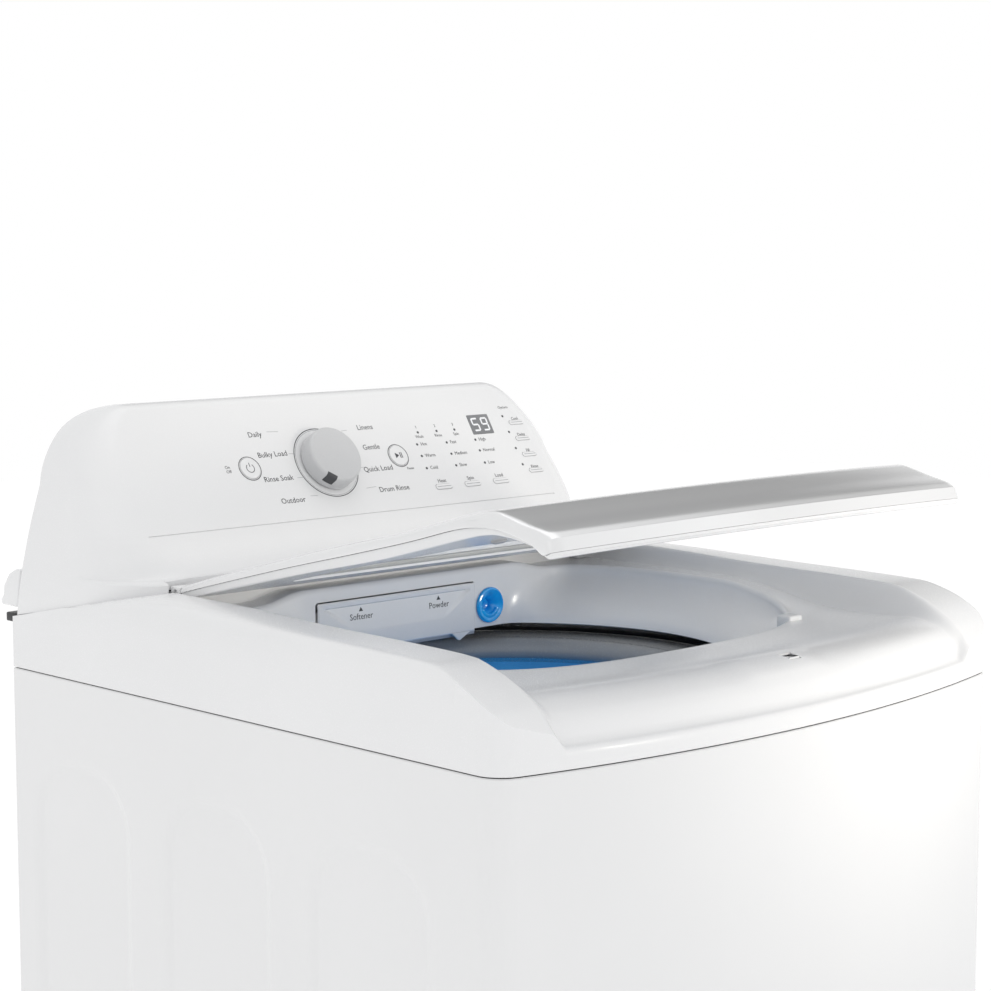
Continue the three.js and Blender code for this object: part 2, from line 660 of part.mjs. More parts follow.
function lidBumper(side) {
  return turned([[0, -20.2], [5, -20.2], [7, -18.6], [7, -17.4], [0, -17.4]], 12)
    .translate(side * BUMPER_X, BUMPER_Y, HINGE_Z);
}

function hingePin(side) {
  const x0 = side > 0 ? KNUCKLE_OUTER + FIT : -KNUCKLE_OUTER - FIT - 22;
  return rod(PIN_RADIUS, x0, x0 + 22, 12).rotateY(Math.PI / 2).translate(0, HINGE_Y, HINGE_Z);
}

function lidStrike() {
  const blade = solid(block(STRIKE_X - 4, STRIKE_X + 4, STRIKE_Y - 2, STRIKE_Y, HINGE_Z - 43, HINGE_Z - 26));
  const hook = solid(block(STRIKE_X - 1.5, STRIKE_X + 1.5, STRIKE_Y - 5, STRIKE_Y + 5, HINGE_Z - 41, HINGE_Z - 38));
  const liner = lidSkin(LID_TOP, LID_BOTTOM.map(([a, b]) => [a, b - 0.3]), LID_HALF);
  return fromSolid(largestPiece(blade.subtract(hook).subtract(liner)));
}

function hingeBracket(side) {
  const [x0, x1] = side > 0 ? [KNUCKLE_OUTER + 1.5, 286] : [-286, -KNUCKLE_OUTER - 1.5];
  const body = solid(block(x0, x1, HINGE_Y - 7, HINGE_Y + 7, POCKET_FLOOR_Z + FIT + 0.5, HINGE_Z + 7));
  const bore = solid(rod(PIN_RADIUS + 0.6, x0 - 5, x1 + 5, 12).rotateY(Math.PI / 2).translate(0, HINGE_Y, HINGE_Z));
  return fromSolid(body.subtract(bore));
}

function lidLock() {
  const body = solid(block(STRIKE_X - 34, STRIKE_X + 34, STRIKE_Y - 9, STRIKE_Y + 30, SEAM_Z + 8, SEAM_Z + 32));
  const mouthCut = solid(block(STRIKE_X - 7, STRIKE_X + 7, STRIKE_Y - 6, STRIKE_Y + 7, SEAM_Z + 14, SEAM_Z + 40));
  return fromSolid(body.subtract(mouthCut));
}

// ---------------------------------------------------------------- tub, basket and drive
function outerTub() {
  const wall = 3;
  const shell = solid(turned([
    [34, TUB_FLOOR_Z], [90, TUB_FLOOR_Z - 3], [TUB_RADIUS - 20, TUB_FLOOR_Z + 4],
    [TUB_RADIUS, TUB_FLOOR_Z + 26], [TUB_RADIUS, TUB_TOP_Z], [TUB_RADIUS - wall, TUB_TOP_Z],
    [TUB_RADIUS - wall, TUB_FLOOR_Z + 27], [TUB_RADIUS - 22, TUB_FLOOR_Z + 8], [34, TUB_FLOOR_Z + 4],
  ], 40));
  const arm = (turn) => {
    const reach = LUG_OFFSET * Math.SQRT2;
    const plate = solid(block(TUB_RADIUS - 2, reach + 14, -20, 20, LUG_Z, LUG_Z + 12));
    const hole = solid(rod(7, LUG_Z - 5, LUG_Z + 20, 12).translate(reach, 0, 0));
    return plate.subtract(hole).rotate([0, 0, THREE.MathUtils.radToDeg(turn)]);
  };
  const turns = [1, 3, 5, 7].map((k) => (k * Math.PI) / 4);
  const lugs = turns.map(arm);
  const room = solid(turned([
    [0, TUB_FLOOR_Z + 30], [TUB_RADIUS - wall, TUB_FLOOR_Z + 30], [TUB_RADIUS - wall, TUB_TOP_Z], [0, TUB_TOP_Z],
  ], 40));
  const body = lugs.reduce((sum, lug) => sum.add(lug.subtract(room)), shell);
  return fromSolid(body).translate(0, TUB_Y, 0);
}

const tubRing = () => turned([
  [BASKET_RADIUS + 6, TUB_TOP_Z + 9], [BASKET_RADIUS + 6, TUB_TOP_Z + 3], [TUB_RADIUS - 10, TUB_TOP_Z + FIT],
  [TUB_RADIUS + 4, TUB_TOP_Z + FIT], [TUB_RADIUS + 4, TUB_TOP_Z + 7], [TUB_RADIUS - 6, TUB_TOP_Z + 10],
], 40).translate(0, TUB_Y, 0);

const driveHousing = () => turned([
  [SHAFT_RADIUS + 2, 300], [70, 300], [126, 306], [128, 344], [100, TUB_FLOOR_Z - 5], [92, TUB_FLOOR_Z - 5],
  [118, 340], [117, 314], [66, 308], [30, 308], [28, TUB_FLOOR_Z - 5], [SHAFT_RADIUS + 2, TUB_FLOOR_Z - 5],
], 28).translate(0, TUB_Y, 0);

const motorRotor = () => turned([
  [SHAFT_RADIUS + FIT, 262], [134, 262], [136, 297], [128, 297], [127, 268], [30, 268], [28, 292],
  [SHAFT_RADIUS + FIT, 292],
], 28).translate(0, TUB_Y, 0);

const driveShaft = () => rod(SHAFT_RADIUS, 256, 428, 16).translate(0, TUB_Y, 0);

function drainPump() {
  const body = solid(rod(34, 290, 350, 16).translate(150, -190, 0));
  const spout = solid(block(150, 215, -200, -180, 300, 320));
  return fromSolid(body.add(spout));
}

function suspensionRod(x, y) {
  return turned([
    [0, 366], [13, 366], [13, 371], [4, 371], [4, 842], [9, 844], [9, 854], [0, 856],
  ], 10).translate(x, y, 0);
}

function suspensionCup(x, y) {
  return turned([
    [6, LUG_Z - 0.5], [20, LUG_Z - 0.5], [20, LUG_Z - 46], [17, LUG_Z - 46], [17, LUG_Z - 5], [6, LUG_Z - 5],
  ], 14).translate(x, y, 0);
}

const basket = () => turned([
  [40, BASKET_FLOOR_Z + 6], [120, BASKET_FLOOR_Z + 2], [BASKET_RADIUS - 20, BASKET_FLOOR_Z],
  [BASKET_RADIUS - 4, BASKET_FLOOR_Z + 8], [BASKET_RADIUS, BASKET_FLOOR_Z + 26], [BASKET_RADIUS, BASKET_TOP_Z],
  [BASKET_RADIUS - 1, BASKET_TOP_Z], [BASKET_RADIUS - 1, BASKET_FLOOR_Z + 26],
  [BASKET_RADIUS - 5, BASKET_FLOOR_Z + 9.2], [BASKET_RADIUS - 21, BASKET_FLOOR_Z + 1.2],
  [120, BASKET_FLOOR_Z + 3.2], [40, BASKET_FLOOR_Z + 7.2],
], 40).translate(0, TUB_Y, 0);

const balanceRing = () => turned([
  [BASKET_RADIUS, BASKET_TOP_Z + FIT], [BASKET_RADIUS, RING_TOP_Z - 8], [BASKET_RADIUS - 6, RING_TOP_Z - 3],
  [RING_LIP_RADIUS + 26, RING_TOP_Z], [RING_LIP_RADIUS + 6, RING_TOP_Z - 3], [RING_LIP_RADIUS, RING_TOP_Z - 10],
  [RING_LIP_RADIUS, RING_TOP_Z - 20], [RING_LIP_RADIUS + 8, RING_TOP_Z - 24],
  [BASKET_RADIUS - 12, BASKET_TOP_Z + FIT],
], 40).translate(0, TUB_Y, 0);

const basketHub = () => turned([
  [SHAFT_RADIUS + 2, 372], [46, 372], [60, 384], [150, 392], [150, 398], [44, 401],
  [38, 404], [38, 412], [SHAFT_RADIUS + 2, 412],
], 28).translate(0, TUB_Y, 0);

function agitator() {
  const column = solid(turned([
    [0, 432], [SHAFT_RADIUS + FIT, 432], [SHAFT_RADIUS + FIT, 416], [180, 416], [182, 420], [150, 432],
    [96, 446], [60, 466], [46, 500], [40, 600], [36, 745], [0, 745],
  ], 28));
  const vane = (turn) => solid(lengthways([
    [20, 440], [150, 440], [112, 466], [92, 540], [62, 640], [50, 660], [20, 660],
  ], -4, 4)).rotate([0, 0, turn]);
  const body = [0, 90, 180, 270].reduce((sum, turn) => sum.add(vane(turn)), column);
  return fromSolid(body).translate(0, TUB_Y, 0);
}

const agitatorCap = () => turned([
  [0, 745.4], [40, 745.4], [42, 752], [40, 764], [30, 772], [0, 775],
], 28).translate(0, TUB_Y, 0);

// ---------------------------------------------------------------- assembly
const washer = new THREE.Group();

function add(parent, name, geometry, material) {
  const mesh = new THREE.Mesh(clean(geometry), MATERIALS[material]());
  mesh.name = name;
  parent.add(mesh);
  return mesh;
}

add(washer, 'cabinet_shell', cabinetShell(), 'enamel');
add(washer, 'rear_panel', rearPanel(), 'zinc');
add(washer, 'base_frame', baseFrame(), 'grey');
const FEET = [
  ['front_left', -HALF_WIDTH + FOOT_INSET, FRONT_CORNER_Y + FOOT_INSET],
  ['front_right', HALF_WIDTH - FOOT_INSET, FRONT_CORNER_Y + FOOT_INSET],
  ['rear_left', -HALF_WIDTH + FOOT_INSET, REAR_Y - FOOT_INSET + 15],
  ['rear_right', HALF_WIDTH - FOOT_INSET, REAR_Y - FOOT_INSET + 15],
];
for (const [corner, x, y] of FEET) add(washer, `foot_${corner}`, foot(x, y), 'rubber');
add(washer, 'top_cover', topCover(), 'plastic');

add(washer, 'console_housing', consoleHousing(), 'plastic');
add(washer, 'console_rear_cover', consoleRearCover(), 'grey');
add(washer, 'display_window', displayWindow(), 'grey');
add(washer, 'control_board', controlBoard(), 'board');

const knobGroup = new THREE.Group();
knobGroup.applyMatrix4(onPanel(KNOB.x, KNOB.t));
add(knobGroup, 'dial_knob', dialKnob(), 'grey');
washer.add(knobGroup);
for (const b of ROUND_BUTTONS) {
  add(washer, b.name, roundButton().applyMatrix4(onPanel(b.x, b.t)), 'plastic');
}
for (const k of KEYS) add(washer, k.name, key(k).applyMatrix4(onPanel(k.x, k.t)), 'plastic');

add(washer, 'inlet_hood', inletHood(), 'plastic');
add(washer, 'inlet_valve', inletValve(), 'black');
add(washer, 'dispenser_housing', dispenserHousing(), 'grey');
add(washer, 'dispenser_drawer', dispenserDrawer(), 'plastic');
add(washer, 'spray_nozzle', sprayNozzle(), 'blue');
add(washer, 'drain_port', drainPort(), 'black');
add(washer, 'power_gland', powerGland(), 'black');
add(washer, 'lid_lock', lidLock(), 'grey');
add(washer, 'hinge_bracket_left', hingeBracket(-1), 'grey');
add(washer, 'hinge_bracket_right', hingeBracket(1), 'grey');

// The lid is built shut and turned to where it rests, partly raised.
const lidGroup = new THREE.Group();
lidGroup.position.set(0, HINGE_Y, HINGE_Z);
lidGroup.rotation.x = -LID_REST;
const lidFrame = new THREE.Group();
lidFrame.position.set(0, -HINGE_Y, -HINGE_Z);
lidGroup.add(lidFrame);
add(lidFrame, 'lid_top', lidTop(), 'plastic');
add(lidFrame, 'lid_liner', lidLiner(), 'plastic');
add(lidFrame, 'lid_window', lidWindow(), 'glass');
add(lidFrame, 'lid_bumper_left', lidBumper(-1), 'grey');
add(lidFrame, 'lid_bumper_right', lidBumper(1), 'grey');
add(lidFrame, 'hinge_pin_left', hingePin(-1), 'zinc');
add(lidFrame, 'hinge_pin_right', hingePin(1), 'zinc');
add(lidFrame, 'lid_strike', lidStrike(), 'grey');
washer.add(lidGroup);

add(washer, 'outer_tub', outerTub(), 'tub');
add(washer, 'tub_ring', tubRing(), 'tub');
add(washer, 'drive_housing', driveHousing(), 'alloy');
add(washer, 'drain_pump', drainPump(), 'black');
let corner = 0;
for (const sy of [-1, 1]) {
  for (const sx of [-1, 1]) {
    corner += 1;
    const x = sx * LUG_OFFSET;
    const y = TUB_Y + sy * LUG_OFFSET;
    add(washer, `suspension_rod_${corner}`, suspensionRod(x, y), 'zinc');
    add(washer, `suspension_cup_${corner}`, suspensionCup(x, y), 'black');
  }
}
add(washer, 'basket', basket(), 'steel');
add(washer, 'balance_ring', balanceRing(), 'ring');
add(washer, 'basket_hub', basketHub(), 'alloy');
add(washer, 'agitator', agitator(), 'tub');
add(washer, 'agitator_cap', agitatorCap(), 'blue');
add(washer, 'drive_shaft', driveShaft(), 'zinc');
add(washer, 'motor_rotor', motorRotor(), 'alloy');

export default washer;
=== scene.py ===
"""Looks of a top load washing machine: sheet cabinet, moulded cover, dial console, lid and drum.

Sizes inside the builders are millimetres in the part's own frame: +Z up, -Y front, floor at zero.
"""

import json
import math
from contextlib import contextmanager

import bmesh
import bpy
import numpy as np
from bpy.props import FloatProperty, FloatVectorProperty, IntProperty, PointerProperty, StringProperty
from mathutils import Matrix, Vector

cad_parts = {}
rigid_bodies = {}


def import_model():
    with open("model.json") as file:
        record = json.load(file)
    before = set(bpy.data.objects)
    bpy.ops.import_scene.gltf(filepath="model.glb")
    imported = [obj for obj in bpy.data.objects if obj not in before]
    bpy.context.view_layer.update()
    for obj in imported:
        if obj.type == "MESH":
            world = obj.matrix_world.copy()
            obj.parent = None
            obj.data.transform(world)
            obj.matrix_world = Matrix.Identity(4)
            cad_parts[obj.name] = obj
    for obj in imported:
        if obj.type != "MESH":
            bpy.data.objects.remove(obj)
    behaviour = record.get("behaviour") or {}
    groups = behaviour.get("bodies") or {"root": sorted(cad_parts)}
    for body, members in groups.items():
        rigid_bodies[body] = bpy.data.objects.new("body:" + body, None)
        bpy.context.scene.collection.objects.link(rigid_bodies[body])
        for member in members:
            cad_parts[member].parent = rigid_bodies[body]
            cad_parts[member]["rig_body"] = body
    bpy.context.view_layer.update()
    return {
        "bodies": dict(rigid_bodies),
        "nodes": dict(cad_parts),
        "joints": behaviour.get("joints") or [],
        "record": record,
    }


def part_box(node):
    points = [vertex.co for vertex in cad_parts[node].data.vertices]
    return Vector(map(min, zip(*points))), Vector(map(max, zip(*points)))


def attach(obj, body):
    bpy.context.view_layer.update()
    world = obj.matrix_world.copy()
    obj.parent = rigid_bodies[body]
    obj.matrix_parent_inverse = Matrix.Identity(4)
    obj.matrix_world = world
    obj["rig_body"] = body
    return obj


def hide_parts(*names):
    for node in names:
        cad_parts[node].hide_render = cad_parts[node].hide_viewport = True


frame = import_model()

bl_info = {
    "name": "Top load washing machine",
    "version": (1, 0, 0),
    "blender": (4, 5, 0),
    "location": "3D View > Sidebar > Washer",
    "description": "Builds the washing machine's cabinet, cover, console, lid, drum and stage",
    "category": "Object",
}

MM = 0.001
HALF_WIDTH = 343.0
REAR_Y = 348.0
SEAM_Z = 868.5
BASE_Z = 25.0
BOW = 44.0
FRONT_Y = -386.0
CORNER_RADIUS = 28.0
BOW_RADIUS = (HALF_WIDTH ** 2 + BOW ** 2) / (2 * BOW)
BOW_CENTRE_Y = FRONT_Y + BOW_RADIUS
CORNER_X = HALF_WIDTH - CORNER_RADIUS
CORNER_Y = BOW_CENTRE_Y - math.sqrt((BOW_RADIUS - CORNER_RADIUS) ** 2 - CORNER_X ** 2)
CORNER_START = math.atan2(BOW_CENTRE_Y - CORNER_Y, CORNER_X)
BOW_END = CORNER_X + CORNER_RADIUS * math.cos(CORNER_START)
PANEL_TILT = math.radians(32)
PANEL_FOOT = Vector((0, 202, 1007))
PANEL_UP = Vector((0, math.sin(PANEL_TILT), math.cos(PANEL_TILT)))
PANEL_OUT = Vector((0, -math.cos(PANEL_TILT), math.sin(PANEL_TILT)))
HINGE = Vector((0, 154, 957))
LID_REST = math.radians(15)
DRUM_CENTRE = Vector((0, -14, 0))
# These turn a flat outline, given as (x, z) or (y, z), so that its height runs along Y or X.
UPRIGHT = Matrix(((1, 0, 0, 0), (0, 0, 1, 0), (0, 1, 0, 0), (0, 0, 0, 1)))
SIDEWAYS = Matrix(((0, 0, 1, 0), (1, 0, 0, 0), (0, 1, 0, 0), (0, 0, 0, 1)))
MOUTH_Y = -30.0
MOUTH_BACK = 160.0
REAR_SHEET_Y = REAR_Y - 1.2
NOZZLE_X, NOZZLE_Z = 108, 906
KNOB_SPOT = (-28.0, 62.6)
DISPLAY_SPOT = (212, 93)
ROUND_BUTTONS = {"power_button": (-129.3, 63.2), "start_button": (73.8, 63.2)}
KEYS = {
    "temp_key": (121.0, 21.6, 24.0, 6.0),
    "spin_key": (164.5, 21.6, 24.0, 6.0),
    "soil_key": (208.0, 21.6, 24.0, 6.0),
    "option_key_1": (268.0, 92.0, 22.0, 5.0),
    "option_key_2": (268.0, 71.5, 22.0, 5.0),
    "option_key_3": (268.0, 51.0, 22.0, 5.0),
    "option_key_4": (268.0, 30.5, 22.0, 5.0),
}


# ---------------------------------------------------------------- numbers and curves
def ease(low, high, value):
    """Smooth step from 0 at low to 1 at high."""
    t = np.clip((np.asarray(value, float) - low) / (high - low), 0, 1)
    return t * t * (3 - 2 * t)


def soft_min(a, b, blend):
    """The lower of two heights, rounded where they meet."""
    h = np.clip(0.5 + 0.5 * (b - a) / blend, 0, 1)
    return b * (1 - h) + a * h - blend * h * (1 - h)


def curve(points, value):
    """A smooth curve through points that never swings past them."""
    points = np.asarray(points, float)
    x, y = points[:, 0], points[:, 1]
    step = np.diff(x)
    slope = np.diff(y) / step
    tangent = np.zeros(len(x))
    tangent[0], tangent[-1] = slope[0], slope[-1]
    for i in range(1, len(x) - 1):
        if slope[i - 1] * slope[i] > 0:
            w1, w2 = 2 * step[i] + step[i - 1], step[i] + 2 * step[i - 1]
            tangent[i] = (w1 + w2) / (w1 / slope[i - 1] + w2 / slope[i])
    v = np.clip(np.asarray(value, float), x[0], x[-1])
    k = np.clip(np.searchsorted(x, v, side="right") - 1, 0, len(x) - 2)
    t = (v - x[k]) / step[k]
    return (
        y[k] * (1 + 2 * t) * (1 - t) ** 2
        + tangent[k] * step[k] * t * (1 - t) ** 2
        + y[k + 1] * t * t * (3 - 2 * t)
        + tangent[k + 1] * step[k] * t * t * (t - 1)
    )


def rounded(points, radius, steps=5):
    """A 2-D outline with each corner turned into an arc; radius is one number or one for each corner."""
    points = [Vector(p) for p in points]
    count = len(points)
    radii = radius if isinstance(radius, (list, tuple)) else [radius] * count
    out = []
    for i, p in enumerate(points):
        before, after = points[i - 1] - p, points[(i + 1) % count] - p
        reach = min(radii[i], before.length * 0.49, after.length * 0.49)
        a, b = p + before.normalized() * reach, p + after.normalized() * reach
        if reach < 1e-6:
            out.append((p.x, p.y))
            continue
        for k in range(steps + 1):
            t = k / steps
            q = a * (1 - t) ** 2 + p * 2 * t * (1 - t) + b * t * t
            out.append((q.x, q.y))
    return out


def pill(length, width, steps=8):
    """A long outline with round ends."""
    r, c = width / 2, length / 2 - width / 2
    ends = [(c, -90), (-c, 90)]
    return [
        (x + r * math.cos(math.radians(start + 180 * k / steps)), r * math.sin(math.radians(start + 180 * k / steps)))
        for x, start in ends
        for k in range(steps + 1)
    ]


def polar(radius, angle, *height):
    return (radius * math.cos(angle), radius * math.sin(angle), *height)


def circle(radius, count=48):
    return [polar(radius, 2 * math.pi * k / count) for k in range(count)]


def rectangle(x0, y0, x1, y1):
    return [(x0, y0), (x1, y0), (x1, y1), (x0, y1)]


# ---------------------------------------------------------------- meshes
def new_object(name, vertices, faces):
    """A mesh from points in millimetres."""
    mesh = bpy.data.meshes.new(name)
    mesh.from_pydata((np.asarray(vertices, float) * MM).tolist(), [], [tuple(int(i) for i in f) for f in faces])
    mesh.validate()
    obj = bpy.data.objects.new(name, mesh)
    bpy.context.scene.collection.objects.link(obj)
    return obj


@contextmanager
def edited(obj):
    """The object's mesh, open for editing."""
    bm = bmesh.new()
    bm.from_mesh(obj.data)
    yield bm
    bm.to_mesh(obj.data)
    bm.free()


def tidy_mesh(obj, outward=True, merge=1e-6):
    """Joins shared corners and turns closed skins outwards."""
    with edited(obj) as bm:
        bmesh.ops.remove_doubles(bm, verts=bm.verts, dist=merge)
        bmesh.ops.dissolve_degenerate(bm, edges=bm.edges, dist=1e-7)
        if outward:
            bmesh.ops.recalc_face_normals(bm, faces=bm.faces)
    return obj


def settle(obj):
    """Bakes the object's modifiers into its mesh."""
    bpy.context.view_layer.update()
    mesh = bpy.data.meshes.new_from_object(obj.evaluated_get(bpy.context.evaluated_depsgraph_get()))
    obj.modifiers.clear()
    obj.data = mesh
    return obj


def remove(obj):
    mesh = obj.data
    bpy.data.objects.remove(obj)
    bpy.data.meshes.remove(mesh)


def combine(obj, *others, how="DIFFERENCE"):
    """Cuts other closed bodies out of this one, or adds them to it."""
    for other in others:
        step = obj.modifiers.new("shape", "BOOLEAN")
        step.operation, step.solver, step.object = how, "EXACT", other
        settle(obj)
        remove(other)
    return obj


def join(obj, *others):
    """Puts several meshes into one object, keeping their materials."""
    with edited(obj) as bm:
        for other in others:
            start = len(bm.faces)
            bm.from_mesh(other.data)
            bm.faces.ensure_lookup_table()
            slots = []
            for material in other.data.materials:
                if material not in obj.data.materials[:]:
                    obj.data.materials.append(material)
                slots.append(obj.data.materials[:].index(material))
            if slots:
                for face in bm.faces[start:]:
                    face.material_index = slots[min(face.material_index, len(slots) - 1)]
            remove(other)
    return obj


def joined(name, pieces):
    """Puts a list of meshes into the first of them and names it."""
    pieces[0].name = name
    return join(*pieces)


def soften(obj, width, segments=3, angle=35):
    """Rounds the edges that turn more than the angle, width in millimetres."""
    step = obj.modifiers.new("edge", "BEVEL")
    step.width, step.segments = width * MM, segments
    step.limit_method, step.angle_limit = "ANGLE", math.radians(angle)
    step.use_clamp_overlap = True
    return settle(obj)


def thicken(obj, wall):
    """Gives an open skin a wall on its inner side."""
    step = obj.modifiers.new("wall", "SOLIDIFY")
    step.thickness, step.offset = wall * MM, -1
    return settle(obj)


def loft(name, rings, closed=True, caps=True):
    """A skin through rings that all have the same count of points."""
    rings = np.asarray(rings, float)
    levels, count = rings.shape[:2]
    faces = []
    for r in range(levels - 1):
        for i in range(count if closed else count - 1):
            a, b = r * count + i, r * count + (i + 1) % count
            faces.append((a, b, b + count, a + count))
    if caps:
        faces.append(tuple(range(count - 1, -1, -1)))
        faces.append(tuple(range((levels - 1) * count, levels * count)))
    return new_object(name, rings.reshape(-1, 3), faces)


def in_metres(place):
    moved = place.copy()
    moved.translation = place.translation * MM
    return moved


def solid(name, rings, place=None, caps=True):
    """A closed body through rings, put in place by a matrix in millimetres."""
    obj = loft(name, rings, caps=caps)
    if place is not None:
        obj.data.transform(in_metres(place))
    return tidy_mesh(obj)


def prism(name, outline, low, high, place=None):
    """A flat outline (x, y) raised from low to high."""
    return solid(name, [[(x, y, z) for x, y in outline] for z in (low, high)], place)


def lathe(name, section, segments=96, place=None):
    """A section of (radius, height) points turned about Z; it closes on itself or on the axis."""
    if section[0][0] != 0 or section[-1][0] != 0:
        section = [*section, section[0]]
    rings = [[polar(r, 2 * math.pi * k / segments, z) for k in range(segments)] for r, z in section]
    return solid(name, rings, place, caps=False)


def block(name, low, high, radius=0.0):
    """A box between two corners with rounded edges."""
    (x0, y0, z0), (x1, y1, z1) = low, high
    obj = prism(name, rectangle(x0, y0, x1, y1), z0, z1)
    return soften(obj, radius, 3) if radius else obj


def on_panel(x, t, lift=0.0, turn=0.0):
    """A frame on the sloping panel: X right, Y up the slope, Z out of the face."""
    place = Matrix((Vector((1, 0, 0)), PANEL_UP, PANEL_OUT)).transposed().to_4x4()
    place.translation = PANEL_FOOT + PANEL_UP * t + PANEL_OUT * lift + Vector((x, 0, 0))
    return place @ Matrix.Rotation(turn, 4, "Z")


def raised(obj):
    """Turns a part of the lid from its shut place to where it rests."""
    turn = Matrix.Translation(HINGE * MM) @ Matrix.Rotation(-LID_REST, 4, "X") @ Matrix.Translation(-HINGE * MM)
    obj.data.transform(turn)
    return obj


def lettering(name, text, size, place, align="CENTER"):
    """Printed words as a thin mesh."""
    font = bpy.data.curves.new(name, "FONT")
    font.body, font.size = text, size * MM
    font.align_x, font.align_y = align, "CENTER"
    font.resolution_u = 2
    font.extrude = 0.04 * MM
    words = bpy.data.objects.new(name, font)
    bpy.context.scene.collection.objects.link(words)
    bpy.context.view_layer.update()
    mesh = bpy.data.meshes.new_from_object(words.evaluated_get(bpy.context.evaluated_depsgraph_get()))
    bpy.data.objects.remove(words)
    mesh.transform(in_metres(place))
    obj = bpy.data.objects.new(name, mesh)
    bpy.context.scene.collection.objects.link(obj)
    return obj


def finish_piece(obj, body, material, replaced=(), angle=32):
    """Gives a piece its finish and its body, and hides the nodes that it stands for."""
    if material is not None:
        obj.data.materials.clear()
        obj.data.materials.append(material)
    obj.data.shade_smooth()
    obj.data.set_sharp_from_angle(angle=math.radians(angle))
    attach(obj, body)
    if replaced:
        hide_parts(*replaced)


def refined(node, name, edge, segments=2, angle=35):
    """A copy of a CAD node with joined corners and rounded edges."""
    obj = bpy.data.objects.new(name, frame["nodes"][node].data.copy())
    bpy.context.scene.collection.objects.link(obj)
    tidy_mesh(obj, outward=False, merge=2e-6)
    with edited(obj) as bm:
        bmesh.ops.dissolve_limit(bm, angle_limit=math.radians(1.0), verts=bm.verts, edges=bm.edges)
    return soften(obj, edge, segments, angle)


def carry_over(node, name, body, slot, material, *edge):
    """A piece with a CAD node's own shape, standing for that node."""
    finish_piece(refined(node, name, *edge), body, material, [node])


# ---------------------------------------------------------------- materials
MADE = {}


def graph(name):
    """A new node material with its nodes, links and main shader."""
    material = bpy.data.materials.new(name)
    material.use_nodes = True
    nodes, links = material.node_tree.nodes, material.node_tree.links
    return material, nodes, links, nodes["Principled BSDF"]


def tuned(node, values):
    """Sets a node's inputs by name."""
    for name, value in values.items():
        node.inputs[name].default_value = value
    return node


def noise(nodes, links, scale, detail=3.0, stretch=(1, 1, 1)):
    """Noise on the piece's own coordinates."""
    place = nodes.new("ShaderNodeTexCoord")
    mapping = tuned(nodes.new("ShaderNodeMapping"), {"Scale": stretch})
    texture = tuned(nodes.new("ShaderNodeTexNoise"), {"Scale": scale, "Detail": detail})
    links.new(place.outputs["Object"], mapping.inputs["Vector"])
    links.new(mapping.outputs["Vector"], texture.inputs["Vector"])
    return texture.outputs["Fac"]


def ramp(nodes, links, source, low, high):
    """Two colours across the source's middle range."""
    node = nodes.new("ShaderNodeValToRGB")
    for stop, position, colour in zip(node.color_ramp.elements, (0.35, 0.65), (low, high)):
        stop.position, stop.color = position, (*colour, 1)
    links.new(source, node.inputs["Fac"])
    return node.outputs["Color"]


def spread(nodes, links, source, low, high):
    """The source's middle range turned into numbers from low to high."""
    node = tuned(nodes.new("ShaderNodeMapRange"), {"From Min": 0.3, "From Max": 0.7, "To Min": low, "To Max": high})
    links.new(source, node.inputs["Value"])
    return node.outputs["Result"]


def relief(nodes, links, shader, source, distance):
    node = tuned(nodes.new("ShaderNodeBump"), {"Distance": distance * MM, "Strength": 1.0})
    links.new(source, node.inputs["Height"])
    links.new(node.outputs["Normal"], shader.inputs["Normal"])


def shaded(colour, factor):
    return tuple(min(1.0, c * factor) for c in colour)


def surface(name, colour, rough, grain=900.0, depth=0.01, tone=0.02, metal=0.0, coat=0.0, stretch=(1, 1, 1),
            cloud=9.0, rough_swing=0.05, specular=0.5, glow=0.0, glow_colour=(1, 1, 1)):
    """A finish with slow tone clouds, a fine grain in the relief and uneven gloss."""
    material, nodes, links, shader = graph(name)
    clouds = noise(nodes, links, cloud, 4.0)
    fine = noise(nodes, links, grain, 3.0, stretch)
    links.new(ramp(nodes, links, clouds, shaded(colour, 1 - tone), shaded(colour, 1 + tone)),
        shader.inputs["Base Color"])
    links.new(spread(nodes, links, fine, max(0.02, rough - rough_swing), rough + rough_swing),
        shader.inputs["Roughness"])
    relief(nodes, links, shader, fine, depth)
    tuned(shader, {
        "Metallic": metal, "Coat Weight": coat, "Coat Roughness": 0.06, "Specular IOR Level": specular,
        "Emission Color": (*glow_colour, 1), "Emission Strength": glow,
    })
    return material


